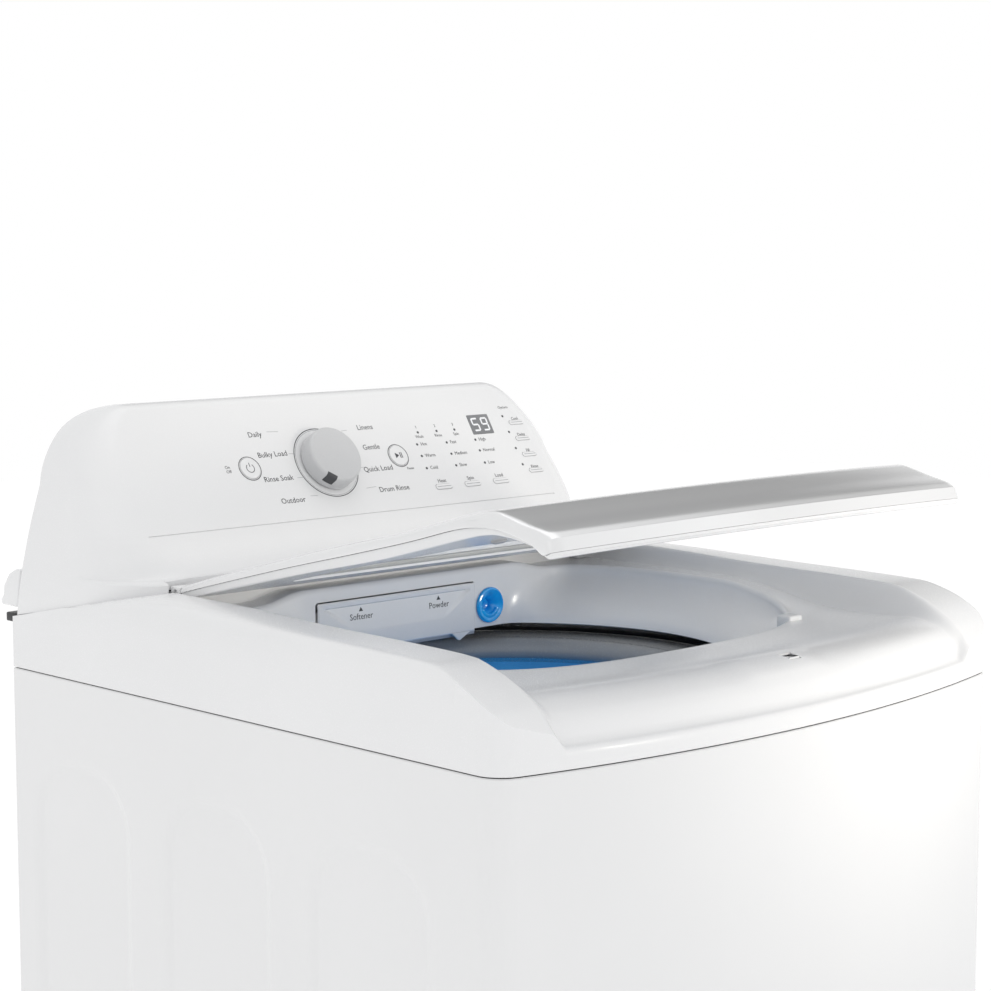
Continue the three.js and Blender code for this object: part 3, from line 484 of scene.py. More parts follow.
def finishes():
    """Every finish of the machine, by its slot in the record and a few of its own."""
    if MADE:
        return MADE
    colours = bpy.context.scene.washer_finishes
    white, body_white = tuple(colours.plastic_white), tuple(colours.enamel_white)
    blue, tint = tuple(colours.nozzle_blue), tuple(colours.drum_tint_and_painted_glow)
    MADE.update({
        "enamel": surface("gloss_enamel", body_white, 0.2, grain=420, depth=0.012, tone=0.008, coat=0.35, cloud=4),
        "plastic": surface("gloss_white_plastic", white, 0.24, grain=1500, depth=0.004, tone=0.008, coat=0.15,
        cloud=6),
        # The lid's copy of the white plastic is made partly metallic so that it mirrors the room's dark side and
        # renders darker than the cover: painted shade on the lid's top.
        "lid_white_painted_shade": surface("lid_plastic_painted_shade", white, 0.2, grain=1500, depth=0.003, tone=0.006, metal=0.45,
        coat=0.3,
                             cloud=6),
        "grey": surface("satin_grey_plastic", (0.42, 0.43, 0.45), 0.38, grain=1300, depth=0.012, tone=0.03),
        "silver": surface("dial_silver", (0.56, 0.565, 0.575), 0.3, grain=1600, depth=0.006, tone=0.02, coat=0.2),
        "ring": surface("balance_ring_grey", (0.34, 0.345, 0.35), 0.25, grain=700, depth=0.01, tone=0.05, coat=0.3),
        "tub": surface("tub_resin", (0.66, 0.68, 0.7), 0.42, grain=800, depth=0.02, tone=0.03),
        # The drum's steel glows faintly in its own blue tint, though it is no lamp: painted light that brightens the
        # shaded inside of the drum.
        "steel": surface("drum_steel_painted_glow", tint, 0.22, grain=160, depth=0.015, tone=0.3, metal=0.1, stretch=(1, 1, 14),
                         cloud=7, rough_swing=0.08, glow=0.12, glow_colour=tint),
        "zinc": surface("zinc_plate", (0.53, 0.54, 0.55), 0.36, grain=260, depth=0.01, tone=0.14, metal=0.95,
        cloud=38),
        "alloy": surface("cast_alloy", (0.5, 0.51, 0.52), 0.46, grain=420, depth=0.07, tone=0.08, metal=0.9,
        cloud=30),
        "black": surface("black_plastic", (0.018, 0.018, 0.02), 0.42, grain=900, depth=0.02, tone=0.2),
        "rubber": surface("foot_rubber", (0.028, 0.028, 0.03), 0.75, grain=650, depth=0.05, tone=0.25),
        "ink": surface("print_ink", (0.055, 0.057, 0.063), 0.5, grain=2200, depth=0.002, tone=0.12),
        "pale_ink": surface("pale_print", (0.3, 0.305, 0.32), 0.5, grain=2200, depth=0.002, tone=0.08),
        # Flat black that stands in for the shade inside slots, gaps and holes: painted shadow.
        "shadow": surface("painted_shadow_black", (0.01, 0.01, 0.011), 0.6, grain=900, depth=0.01, tone=0.2),
        "window_grey": surface("display_grey", (0.2, 0.205, 0.215), 0.14, grain=1800, depth=0.002, tone=0.04,
        coat=0.5),
        "digit": surface("digit_white", (0.9, 0.91, 0.93), 0.35, grain=2000, depth=0.002, tone=0.02),
        "blue": surface("nozzle_blue", blue, 0.12, grain=1200, depth=0.004, tone=0.2, coat=0.6, cloud=60),
        "glass": clear_glass(),
        "board": circuit_board(),
    })
    return MADE


def clear_glass():
    material, nodes, links, shader = graph("lid_glass")
    fine = noise(nodes, links, 14.0, 2.0)
    links.new(ramp(nodes, links, fine, (0.86, 0.9, 0.9), (0.9, 0.93, 0.93)), shader.inputs["Base Color"])
    links.new(spread(nodes, links, noise(nodes, links, 220.0), 0.02, 0.06), shader.inputs["Roughness"])
    tuned(shader, {"Alpha": 0.22, "IOR": 1.5})
    material.use_transparent_shadow = True
    return material


def circuit_board():
    material, nodes, links, shader = graph("circuit_board")
    place = nodes.new("ShaderNodeTexCoord")
    cells = nodes.new("ShaderNodeTexVoronoi")
    cells.distance = "MANHATTAN"
    tuned(cells, {"Scale": 160.0})
    links.new(place.outputs["Object"], cells.inputs["Vector"])
    distance = cells.outputs["Distance"]
    links.new(ramp(nodes, links, distance, (0.012, 0.09, 0.035), (0.03, 0.2, 0.08)), shader.inputs["Base Color"])
    relief(nodes, links, shader, distance, 0.05)
    tuned(shader, {"Roughness": 0.35})
    return material


# ---------------------------------------------------------------- repeated details by geometry nodes
def spots_tree():
    """Puts a small shape on every point of the carrier mesh, turned to face the point's normal."""
    name = "spots_on_points"
    if name in bpy.data.node_groups:
        return bpy.data.node_groups[name]
    tree = bpy.data.node_groups.new(name, "GeometryNodeTree")
    fields = [("Geometry", "Geometry"), ("Radius", "Float"), ("Height", "Float"), ("Sides", "Int"),
        ("Top Share", "Float"),
              ("Finish", "Material")]
    for field, kind in fields:
        tree.interface.new_socket(field, in_out="INPUT", socket_type=f"NodeSocket{kind}")
    tree.interface.new_socket("Geometry", in_out="OUTPUT", socket_type="NodeSocketGeometry")
    nodes = tree.nodes
    source, result = nodes.new("NodeGroupInput"), nodes.new("NodeGroupOutput")
    cone = nodes.new("GeometryNodeMeshCone")
    top = nodes.new("ShaderNodeMath")
    top.operation = "MULTIPLY"
    points = nodes.new("GeometryNodeMeshToPoints")
    normal = nodes.new("GeometryNodeInputNamedAttribute")
    normal.data_type = "FLOAT_VECTOR"
    normal.inputs["Name"].default_value = "facing"
    align = nodes.new("FunctionNodeAlignRotationToVector")
    align.axis = "Z"
    place = nodes.new("GeometryNodeInstanceOnPoints")
    real = nodes.new("GeometryNodeRealizeInstances")
    paint = nodes.new("GeometryNodeSetMaterial")
    for node, output, target, field in (
        (source, "Radius", top, 0), (source, "Top Share", top, 1), (source, "Radius", cone, "Radius Bottom"),
        (top, "Value", cone, "Radius Top"), (source, "Height", cone, "Depth"), (source, "Sides", cone, "Vertices"),
        (source, "Geometry", points, "Mesh"), (normal, "Attribute", align, "Vector"),
        (points, "Points", place, "Points"),
        (cone, "Mesh", place, "Instance"), (align, "Rotation", place, "Rotation"),
        (place, "Instances", real, "Geometry"), (real, "Geometry", paint, "Geometry"),
        (source, "Finish", paint, "Material"), (paint, "Geometry", result, "Geometry"),
    ):
        tree.links.new(node.outputs[output], target.inputs[field])
    return tree


def spots(name, places, radius, height, sides, top_share, material):
    """Small round details, one at each (point, facing) pair in millimetres."""
    carrier = new_object(name, [p for p, _ in places], [])
    facing = carrier.data.attributes.new("facing", "FLOAT_VECTOR", "POINT")
    facing.data.foreach_set("vector", np.asarray([tuple(f) for _, f in places], np.float32).ravel())
    step = carrier.modifiers.new("spots", "NODES")
    tree = spots_tree()
    step.node_group = tree
    values = {"Radius": radius * MM, "Height": height * MM, "Sides": sides, "Top Share": top_share,
        "Finish": material}
    for item in tree.interface.items_tree:
        if item.in_out == "INPUT" and item.name in values:
            step[item.identifier] = values[item.name]
    return settle(carrier)


# ---------------------------------------------------------------- cabinet
def front_y(x):
    """Where the bowed front runs at this width, with its rounded corners."""
    ax = np.minimum(np.abs(np.asarray(x, float)), HALF_WIDTH)
    bow = BOW_CENTRE_Y - np.sqrt(BOW_RADIUS ** 2 - np.minimum(ax, BOW_END) ** 2)
    corner = CORNER_Y - np.sqrt(np.maximum(CORNER_RADIUS ** 2 - np.maximum(ax - CORNER_X, 0) ** 2, 0))
    return np.where(ax < BOW_END, bow, corner)


def half_widths():
    """Stations across half the cover, close together where the shape turns."""
    corner = [CORNER_X + CORNER_RADIUS * math.sin(a) for a in np.linspace(0.1, math.pi / 2, 12)]
    return [*np.linspace(0, 200, 15), 212, 224, 236, 248, 258, 266, 272, *np.linspace(275, 292, 15),
            296, 301, 306, 311, *corner]


def arch_relief(y, z, sizes):
    """Depth of the shallow arches pressed into a side wall."""
    half, top, turn = sizes.arch_width / MM / 2, sizes.arch_top / MM, 62.0
    depth = np.zeros(np.broadcast(y, z).shape)
    for centre in (233.0, 22.0, -189.0):
        dx = np.maximum(np.abs(y - centre) - (half - turn), 0)
        edge = np.hypot(dx, np.maximum(z - (top - turn), 0)) - turn
        depth += sizes.arch_depth / MM * (1 - ease(-4.0, 4.0, edge))
    return depth * ease(60.0, 110.0, z)


def build_cabinet(sizes):
    made = finishes()
    levels = np.array([BASE_Z, BASE_Z + 1.2, 40, 60, 85, 110, 200, 320, 440, 560, 640, *np.arange(700, 800, 4.0),
                       820, 850, SEAM_Z - 2.2, SEAM_Z - 1])
    side_y = np.arange(REAR_Y, CORNER_Y, -5.0)
    turn = np.linspace(0, CORNER_START, 9)
    across = np.linspace(BOW_END, -BOW_END, 41)
    rings = []
    for z in levels:
        pull = 1.2 if z in (levels[0], levels[-1]) else 0.0
        right = [(HALF_WIDTH - pull - a, y, z) for y, a in zip(side_y, arch_relief(side_y, z, sizes))]
        radius = CORNER_RADIUS - pull
        corner = [(CORNER_X + radius * math.cos(a), CORNER_Y - radius * math.sin(a), z) for a in turn]
        front = [(x, float(front_y(x)) + pull, z) for x in across[1:-1]]
        mirrored = [(-x, y, z) for x, y, z in (right + corner)[::-1]]
        rings.append(right + corner + front + mirrored)
    shell = loft("cabinet_wrap", rings, closed=False, caps=False)
    outward(shell, lambda c: Vector((c.x, c.y, 0)))
    thicken(shell, 1.1)
    for x0, x1 in ((1.2 - HALF_WIDTH, 18 - HALF_WIDTH), (HALF_WIDTH - 18, HALF_WIDTH - 1.2)):
        join(shell, block("flange", (x0, REAR_Y - 1.1, BASE_Z + 1), (x1, REAR_Y, SEAM_Z - 1)))
    finish_piece(shell, "cabinet", made["enamel"], ["cabinet_shell"])
    build_rear_panel(made)
    build_base(made)


def outward(obj, direction):
    """Turns an open skin so that its faces look along the given direction on the whole."""
    total = sum(face.area * face.normal.dot(direction(face.center)) for face in obj.data.polygons)
    if total < 0:
        obj.data.flip_normals()


def build_rear_panel(made):
    """A zinc sheet with pressed ribs and screws along its edges."""
    xs = np.linspace(-339, 339, 114)
    zs = np.linspace(57.3, 864, 136)
    grid_x, grid_z = np.meshgrid(xs, zs)
    out = np.zeros_like(grid_x)
    for low, high in ((110, 250), (300, 440), (490, 630)):
        dz = np.maximum(np.abs(grid_z - (low + high) / 2) - (high - low) / 2 + 30, 0)
        edge = np.hypot(np.maximum(np.abs(grid_x) - 230, 0), dz) - 30
        out += 1.08 * (1 - ease(-7, 0, edge))
    skin = np.stack([grid_x, REAR_Y - 2.7 + out, grid_z], axis=-1)
    panel = loft("rear_sheet", skin, closed=False, caps=False)
    outward(panel, lambda c: Vector((0, 1, 0)))
    thicken(panel, 0.9)
    finish_piece(panel, "cabinet", made["zinc"], ["rear_panel"])
    places = [(x, REAR_SHEET_Y, z) for x in (-328, 328) for z in np.linspace(90, 840, 7)]
    places += [(x, REAR_SHEET_Y, z) for x in (-220, 0, 220) for z in (72, 850)]
    screws = spots("rear_screws", [(place, (0, 1, 0)) for place in places], 4.6, 1.8, 18, 0.72, made["zinc"])
    finish_piece(screws, "cabinet", None)


def build_base(made):
    carry_over("base_frame", "base_rails", "cabinet", "grey", made["grey"], 1.0)
    for corner in ("front_left", "front_right", "rear_left", "rear_right"):
        low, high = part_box(f"foot_{corner}")
        centre = (low + high) / 2 / MM
        place = Matrix.Translation((centre.x, centre.y, 0))
        section = [(0, 0), (20, 0), (22.4, 1.2), (23, 3), (23, 8), (22, 10), (13, 13), (0, 13)]
        pad = lathe(f"foot_pad_{corner}", section, 64, place)
        finish_piece(pad, "cabinet", made["rubber"], [f"foot_{corner}"])
        thread = [(0, 12.5), (6, 12.5)]
        for k in range(4):
            thread += [(6.2, 13.5 + k * 2.2), (5.2, 14.6 + k * 2.2)]
        thread += [(5.2, 24.5), (0, 24.5)]
        stem = lathe(f"foot_stem_{corner}", thread, 32, place)
        nut = prism(f"foot_nut_{corner}", circle(11, 6), 15.5, 21.5, place)
        join(stem, soften(nut, 0.7, 2))
        finish_piece(stem, "cabinet", made["zinc"])


# ---------------------------------------------------------------- cover
DECK = [
    (0, 14), (1.5, 17), (6, 19.3), (9, 22.5), (11, 28), (16, 38), (26, 46.5), (40, 52), (56, 54.3),
    (75, 53), (100, 51), (170, 52), (230, 62), (300, 70), (700, 70),
]
CHEEK_ALONG = [
    (-400, 8), (-372, 18), (-356, 29.5), (-347, 40), (-335, 52), (-312, 66), (-288, 76), (-264, 82.5), (-200, 84.6),
    (-90, 86), (48, 90), (148, 91), (154, 90), (353, 50),
]
CHEEK_ACROSS = [(0, 74), (1, 78), (3, 82), (8, 86.5), (15, 89.5), (26, 92), (43, 93.5), (60, 94)]


def cover_height(x, y):
    """Height above the seam of the cover's upper face."""
    ax = np.abs(x)
    back = y - front_y(x)
    deck = curve(DECK, back)
    deck = deck + 9.0 * ease(98, 118, y) * (1 - ease(146, 196, ax))
    cheek = soft_min(curve(CHEEK_ALONG, y), curve(CHEEK_ACROSS, HALF_WIDTH - ax), 5.0)
    wall_foot = 274.0 + 8.0 * ease(40, 150, back)
    side = ease(0, 1, (ax - wall_foot) / (291.0 - wall_foot))
    height = deck + (cheek - deck) * side
    behind = curve([(100, 91), (154, 90), (353, 50)], y)
    height = height + (behind - height) * ease(160.8, 163.6, y) * (1 - side)
    pad = ease(-50, -47, x) * (1 - ease(45, 48, x)) * ease(20, 24, back) * (1 - ease(62, 72, back))
    return height + 1.6 * pad


def flat_back(angle):
    """Distance from the mouth's middle to its flat back wall."""
    return np.where(np.sin(angle) > 0.05, MOUTH_BACK / np.maximum(np.sin(angle), 0.05), 4000.0)


def mouth_reach(angle):
    """Distance from the mouth's middle to its edge at the deck."""
    wide = (np.abs(np.cos(angle)) / 258.0) ** 3 + (np.abs(np.sin(angle)) / 208.0) ** 3
    return soft_min(wide ** (-1 / 3), flat_back(angle), 18.0)


def ribbon(faces, first, second):
    """Faces between two closed loops of corners."""
    for k in range(len(first)):
        n = (k + 1) % len(first)
        faces.append((first[k], first[n], second[n], second[k]))


def build_cover(sizes):
    made = finishes()
    half = half_widths()
    xs = np.array([*[-v for v in half[:0:-1]], *half])
    near = [0, 0.8, 1.6, 3, 4.5, 6, 7.5, 9, 10, 11, 12.5, 14, 16, 19, 22, 26, 30, 35, 40, 47, 56, 66, 76, 86]
    rear = [146, 150, 154, 157, 160, *np.linspace(160.8, 163.6, 6), 165, 170, 190, 220, 260, 300, 340, 348]
    shares = np.linspace(0, 1, 26)[1:-1]
    first = front_y(xs)
    rows = [first + s for s in near]
    rows += [(first + near[-1]) * (1 - f) + rear[0] * f for f in shares]
    rows += [np.full_like(xs, y) for y in rear]
    ys = np.array(rows)
    grid_x = np.broadcast_to(xs, ys.shape)
    grid_z = SEAM_Z + cover_height(grid_x, ys)
    count_y, count_x = ys.shape
    left, right = int(np.argmin(np.abs(xs + 266))), int(np.argmin(np.abs(xs - 266)))
    low, high = len(near) - 1, len(near) + len(shares)
    vertices = np.stack([grid_x, ys, grid_z], axis=-1).reshape(-1, 3).tolist()
    faces = []
    for j in range(count_y - 1):
        for i in range(count_x - 1):
            if left <= i < right and low <= j < high:
                continue
            a = j * count_x + i
            faces.append((a, a + 1, a + count_x + 1, a + count_x))
    rim = [(low, i) for i in range(left, right)] + [(j, right) for j in range(low, high)]
    rim += [(high, i) for i in range(right, left, -1)] + [(j, left) for j in range(high, low, -1)]
    previous = [j * count_x + i for j, i in rim]
    start = np.array([vertices[k] for k in previous])
    angle = np.arctan2(start[:, 1] - MOUTH_Y, start[:, 0])
    lip = sizes.lip_radius / MM
    edge = mouth_reach(angle)
    direction = np.stack([np.cos(angle), np.sin(angle)], axis=-1)
    centre = np.array([0, MOUTH_Y])
    outline = centre + direction * (edge + lip)[:, None]
    loops = []
    for f in (0.25, 0.5, 0.72, 0.88, 1.0):
        plan = start[:, :2] * (1 - f) + outline * f
        loops.append(np.column_stack([plan, SEAM_Z + cover_height(plan[:, 0], plan[:, 1])]))
    crest = loops[-1][:, 2]
    skirt = soft_min(np.full_like(angle, 211.0), flat_back(angle), 8.0)
    for k in range(1, 7):
        turn = math.radians(15 * k)
        plan = centre + direction * (edge + lip * (1 - math.sin(turn)))[:, None]
        loops.append(np.column_stack([plan, crest - lip * (1 - math.cos(turn))]))
    foot = 883.0
    for f in np.linspace(0, 1, 11)[1:]:
        inward = ease(0, 1, f * 0.92 + 0.04) / ease(0, 1, 0.96)
        plan = centre + direction * (edge + (skirt - edge) * inward)[:, None]
        loops.append(np.column_stack([plan, (crest - lip) * (1 - f) + foot * f]))
    for loop in loops:
        base = len(vertices)
        vertices.extend(loop.tolist())
        current = [base + k for k in range(len(loop))]
        ribbon(faces, previous, current)
        previous = current
    border = [(0, i) for i in range(count_x - 1)] + [(j, count_x - 1) for j in range(count_y - 1)]
    border += [(count_y - 1, i) for i in range(count_x - 1, 0, -1)] + [(j, 0) for j in range(count_y - 1, 0, -1)]
    top = [j * count_x + i for j, i in border]
    for share, lift, pull in ((0.67, 0, 1), (0.3, 0, 1), (0, 1, 1), (0, 0, 1 - 0.6 / HALF_WIDTH)):
        base = len(vertices)
        for j, i in border:
            x, y, z = vertices[j * count_x + i]
            vertices.append((x * pull, y * pull, SEAM_Z + (z - SEAM_Z) * share + lift))
        current = [base + k for k in range(len(border))]
        ribbon(faces, current, top)
        top = current
    cover = new_object("cover_moulding", vertices, faces)
    outward(cover, lambda c: Vector((0, 0, 1)))
    tidy_mesh(cover, outward=False, merge=1e-6)
    thicken(cover, 3.0)
    drawer_hole = prism("drawer_hole", rounded(rectangle(-132.6, 879.5, 86.2, 933.6), 4), 120, 146, UPRIGHT)
    nozzle_hole = prism("nozzle_hole", [(x + NOZZLE_X, y + NOZZLE_Z) for x, y in circle(14.2, 40)], 120, 146, UPRIGHT)
    combine(cover, drawer_hole, nozzle_hole, block("lock_hole", (17, -351, 850), (33, -337, 960)))
    finish_piece(cover, "cabinet", made["plastic"], ["top_cover"], 38)
    pads = block("lid_rest_pads", (184, -217, 908), (204, -199, 924.6), 2.5)
    join(pads, block("pad_left", (-204, -217, 906), (-184, -199, 916), 2.5))
    finish_piece(pads, "cabinet", made["plastic"])
    bezel_z = float(SEAM_Z + cover_height(np.array(25.0), np.array(-344.0)))
    bezel = block("lock_bezel", (17.2, -349.4, bezel_z - 9), (31.4, -338.6, bezel_z - 0.2), 0.3)
    combine(bezel, block("bezel_hole", (19.6, -347.6, bezel_z - 19), (30, -340.4, bezel_z + 9)))
    finish_piece(bezel, "cabinet", made["plastic"])
    # The lock body and a thin frame round the slot are black: painted shadow in the slot's gap.
    lock = refined("lid_lock", "lid_lock_body", 0.8)
    frame = block("lock_shadow_frame", (18.8, -348.5, bezel_z - 1), (30.9, -339.5, bezel_z))
    combine(frame, block("frame_hole", (17, -347.6, bezel_z - 9), (30, -340.4, bezel_z + 9)))
    join(lock, frame)
    finish_piece(lock, "cabinet", made["shadow"], ["lid_lock"])
    for side in ("left", "right"):
        carry_over(f"hinge_bracket_{side}", f"hinge_block_{side}", "cabinet", "grey", made["plastic"], 0.8, 3)


# ---------------------------------------------------------------- console
CONSOLE_FRONT = [
    (915, 150), (964.5, 150), (966.3, 152), (967.6, 158), (969, 166), (972.5, 171.5), (979, 178.8), (987, 186.6),
    (996, 194.6), (1006.6, 201.9), (1007.4, 202.3), (1123.2, 274.6), (1125.8, 276.9), (1127.8, 279.6),
    (1129.2, 282.4),
    (1130, 286),
]
CONSOLE_REAR = [
    (915, 346.6), (1083, 326), (1107, 324.4), (1115, 321.6), (1120, 318), (1124.5, 312), (1127.6, 304), (1129.4, 296),
    (1130, 286.8),
]
CONSOLE_SIDE = [(915, 341.4), (940, 340.6), (1000, 333), (1052, 322)]
CONSOLE_TURN = [(915, 94), (962, 88), (985, 66), (1007, 51), (1040, 43), (1130, 40)]
SHOULDER_Z, SHOULDER_RISE = 1052, 78


def console_ring(z):
    """The console's outline at one height, with round front and rear corners."""
    front = float(np.interp(z, *zip(*CONSOLE_FRONT)))
    back = float(np.interp(z, *zip(*CONSOLE_REAR)))
    side = float(curve(CONSOLE_SIDE, z))
    if z > SHOULDER_Z:
        side = 244 + SHOULDER_RISE * math.sqrt(max(0.0, 1 - ((z - SHOULDER_Z) / SHOULDER_RISE) ** 2))
    depth = back - front
    turn = min(float(curve(CONSOLE_TURN, z)), depth * 0.62)
    rear_turn = min(5.0, depth * 0.3)
    run = np.linspace(-1, 1, 29)
    quarter = np.linspace(0, math.pi / 2, 15)[1:]
    right = [(side - turn + turn * math.sin(a), front + turn - turn * math.cos(a)) for a in quarter]
    right += [(side, front + turn + (depth - turn - rear_turn) * f) for f in (0.25, 0.5, 0.75)]
    for a in np.linspace(0, math.pi / 2, 7):
        right.append((side - rear_turn + rear_turn * math.cos(a), back - rear_turn + rear_turn * math.sin(a)))
    ring = [(u * (side - turn), front) for u in run] + right
    ring += [(u * (side - rear_turn), back) for u in run[::-1][1:-1]]
    ring += [(-x, y) for x, y in right[::-1]]
    return [(x, y, z) for x, y in ring]


def build_console():
    made = finishes()
    arcs = [SHOULDER_Z + SHOULDER_RISE * math.sin(a) for a in np.linspace(0.12, math.pi / 2, 16)]
    levels = sorted({915, 930, 945, 955, 961, 964.5, 965.6, 966.3, 967, 967.6, 968.3, 969, 970.5, 972.5, 975.5,
        979, 983,
                     987, 991.5, 996, 1000, 1003.5, 1006.6, 1007.4, 1012, 1020, 1032, 1044, 1052, 1123.2,
                     1124.6, 1125.8,
                     1127.8, 1128.6, 1129.2, 1129.7, *arcs})
    shell = loft("console_shell", [console_ring(z) for z in levels], caps=False)
    tilt = Vector((0, 957.8 - 920.6, 346 - 150)).normalized()
    with edited(shell) as bm:
        bmesh.ops.bisect_plane(bm, geom=[*bm.verts, *bm.edges, *bm.faces], plane_co=Vector((0, 150, 957.8)) * MM,
                               plane_no=tilt, clear_inner=True)
    tidy_mesh(shell, outward=False)
    close_top(shell)
    outward(shell, lambda c: c - Vector((0, 0.25, 1.0)))
    thicken(shell, 3.0)
    setback = block("setback", (-289.6, 120, 900), (289.6, 164.4, 990))
    rear = prism("rear_opening", [(342.6, 880), (420, 880), (420, 1080), (322.6, 1080)], -306, 306, SIDEWAYS)
    crease = prism("crease", rectangle(-281, -1.0, 281, 0.2), -1.1, 4, on_panel(0, 0))
    combine(shell, setback, rear, crease)
    join(shell, block("console_skirt", (-289.4, 164.6, 959.6), (289.4, 167.0, 968.2), 0.3))
    holes = [(circle(5.6, 32), KNOB_SPOT)]
    holes += [(circle(12.4, 48), spot) for spot in ROUND_BUTTONS.values()]
    holes += [(pill(length + 0.8, width + 0.8), (x, t)) for x, t, length, width in KEYS.values()]
    holes.append((rounded(rectangle(-16.3, -12.3, 16.3, 12.3), 1), DISPLAY_SPOT))
    combine(shell, *[prism("hole", outline, -12, 9, on_panel(*spot)) for outline, spot in holes])
    finish_piece(shell, "cabinet", made["plastic"], ["console_housing"], 34)
    build_console_back(made)
    build_display(made)
    build_print(made)


def close_top(obj):
    """Closes the narrow slit along the top of a stacked skin."""
    with edited(obj) as bm:
        top = max(v.co.z for v in bm.verts)
        rim = [e for e in bm.edges if e.is_boundary and min(v.co.z for v in e.verts) > top - 1e-5]
        bmesh.ops.edgeloop_fill(bm, edges=rim)
        bmesh.ops.recalc_face_normals(bm, faces=bm.faces)


def build_console_back(made):
    carry_over("console_rear_cover", "console_back", "cabinet", "grey", made["grey"], 0.5)
    low, high = Vector((0, 346, 922.4)), Vector((0, 326.4, 1079.6))
    along = (high - low).normalized()
    out = Vector((0, along.z, -along.y))
    places = [((x, *(low + along * d + out * 0.3)[1:]), tuple(out)) for x in (-294, -98, 98, 294) for d in (14, 146)]
    screws = spots("console_screws", places, 4.2, 1.6, 18, 0.72, made["zinc"])
    finish_piece(screws, "cabinet", None)
    carry_over("control_board", "control_circuit", "cabinet", "board", made["board"], 0.3)


def build_display(made):
    place = on_panel(*DISPLAY_SPOT)
    glass = prism("display_lens", rounded(rectangle(-16, -12, 16, 12), 1.2), -3, 0.2, place)
    soften(glass, 0.15, 2)
    finish_piece(glass, "cabinet", made["window_grey"], ["display_window"])
    flat = [(-3.6, -1.05), (3.6, -1.05), (4.2, 0), (3.6, 1.05), (-3.6, 1.05), (-4.2, 0)]
    upright = [(-v, u * 0.9) for u, v in flat]
    spans = {
        "a": (0, 7.4, flat), "g": (0, 0, flat), "d": (0, -7.4, flat),
        "f": (-4.1, 3.7, upright), "b": (4.1, 3.7, upright), "c": (4.1, -3.7, upright),
    }
    digits = []
    for lit, x0 in (("afgcd", -7.2), ("abcdfg", 7.2)):
        for x, y, bar in (spans[letter] for letter in lit):
            digits.append(prism("segment", [(u + x + x0, v + y) for u, v in bar], 0.16, 0.3, place))
    finish_piece(joined("display_digits", digits), "cabinet", made["digit"])


def ring_print(radius, width, lift, place, start=0.0, end=360.0):
    """A thin printed ring or arc, from start to end in degrees."""
    count = 72
    angles = [math.radians(start + (end - start) * k / count) for k in range(count + 1)]
    low, high = lift, lift + 0.08
    section = [(radius, low), (radius + width, low), (radius + width, high), (radius, high), (radius, low)]
    obj = loft("ring_print", [[polar(r, a, z) for a in angles] for r, z in section], closed=False, caps=False)
    if end - start < 360:
        with edited(obj) as bm:
            bmesh.ops.remove_doubles(bm, verts=bm.verts, dist=1e-7)
            bmesh.ops.holes_fill(bm, edges=[e for e in bm.edges if e.is_boundary])
    obj.data.transform(in_metres(place))
    return tidy_mesh(obj)


def bar_print(x, t, length, width, turn=0.0):
    outline = rectangle(-length / 2, -width / 2, length / 2, width / 2)
    return prism("bar_print", outline, 0.02, 0.1, on_panel(x, t, 0, turn))


def build_print(made):
    """The panel's rings, leader lines, lamps and generic words."""
    dark = [ring_print(39.6, 0.9, 0.02, on_panel(*KNOB_SPOT), 38, 398)]
    dark += [ring_print(13.0, 0.8, 0.02, on_panel(*spot)) for spot in ROUND_BUTTONS.values()]
    words = {
        ("CENTER", 7.0): [
            (-107, 101, "Daily"), (-94, 77, "Bulky Load"), (-98, 49, "Rinse Soak"), (-90, 23, "Outdoor"),
            (43, 100, "Linens"),
            (41, 76, "Gentle"), (39, 50, "Quick Load"), (50, 25, "Drum Rinse"),
        ],
        ("CENTER", 5.0): [(121, 28.5, "Heat"), (164, 28.5, "Spin"), (208, 28.5, "Load")],
        ("LEFT", 4.6): [
            (112, 74.4, "Hot"), (112, 60.2, "Warm"), (112, 45.2, "Cold"), (156, 74, "Fast"), (156, 59.8, "Medium"),
            (156, 45.3, "Slow"), (200, 74.4, "High"), (200, 60.8, "Normal"), (200, 45.4, "Low"),
        ],
        ("CENTER", 4.0): [
            (115, 83.6, "Wash"), (143, 83.6, "Rinse"), (170, 83.6, "Spin"), (115, 95.4, "1"), (143, 95.4, "2"),
            (170, 95.4, "3"), (-157, 64, "On\nOff"),
        ],
        ("CENTER", 3.8): [(257, 112, "Options")],
        ("CENTER", 4.2): [(268, 96.8, "Cool"), (268, 76.3, "Delay"), (268, 55.8, "Fill"), (268, 35.3, "Rinse")],
        ("CENTER", 3.4): [(84, 47, "Pause")],
    }
    for (align, size), row in words.items():
        dark += [lettering("words", text, size * 1.25, on_panel(x, t, 0.07), align) for x, t, text in row]
    lamps = [
        (115, 89), (143, 89), (170, 89), (107, 74.6), (107, 60.2), (107, 45.2), (151, 74), (151, 59.8), (151, 45.3),
        (195, 74.4), (195, 60.8), (195, 45.4), (251, 100.9), (251, 80.6), (251, 59.7), (251, 38.9),
    ]
    places = [(tuple(on_panel(x, t, 0.05).translation), tuple(PANEL_OUT)) for x, t in lamps]
    dark.append(spots("lamps", places, 1.5, 0.16, 16, 0.9, made["ink"]))
    finish_piece(joined("panel_print", dark), "cabinet", made["ink"])
    pale = []
    leaders = [(-83, 103, 15), (-70, 76, 6), (-70, 48, 7), (-61, 26, 10), (13, 98, 8), (18, 73, 4),
        (17, 53, 4), (19, 29, 14)]
    for x, t, span in leaders:
        pale.append(bar_print(x, t, span, 0.35, math.copysign(0.05, x)))
    pale.append(ring_print(38.2, 0.35, 0.02, on_panel(*KNOB_SPOT)))
    finish_piece(joined("panel_leader_lines", pale), "cabinet", made["pale_ink"])


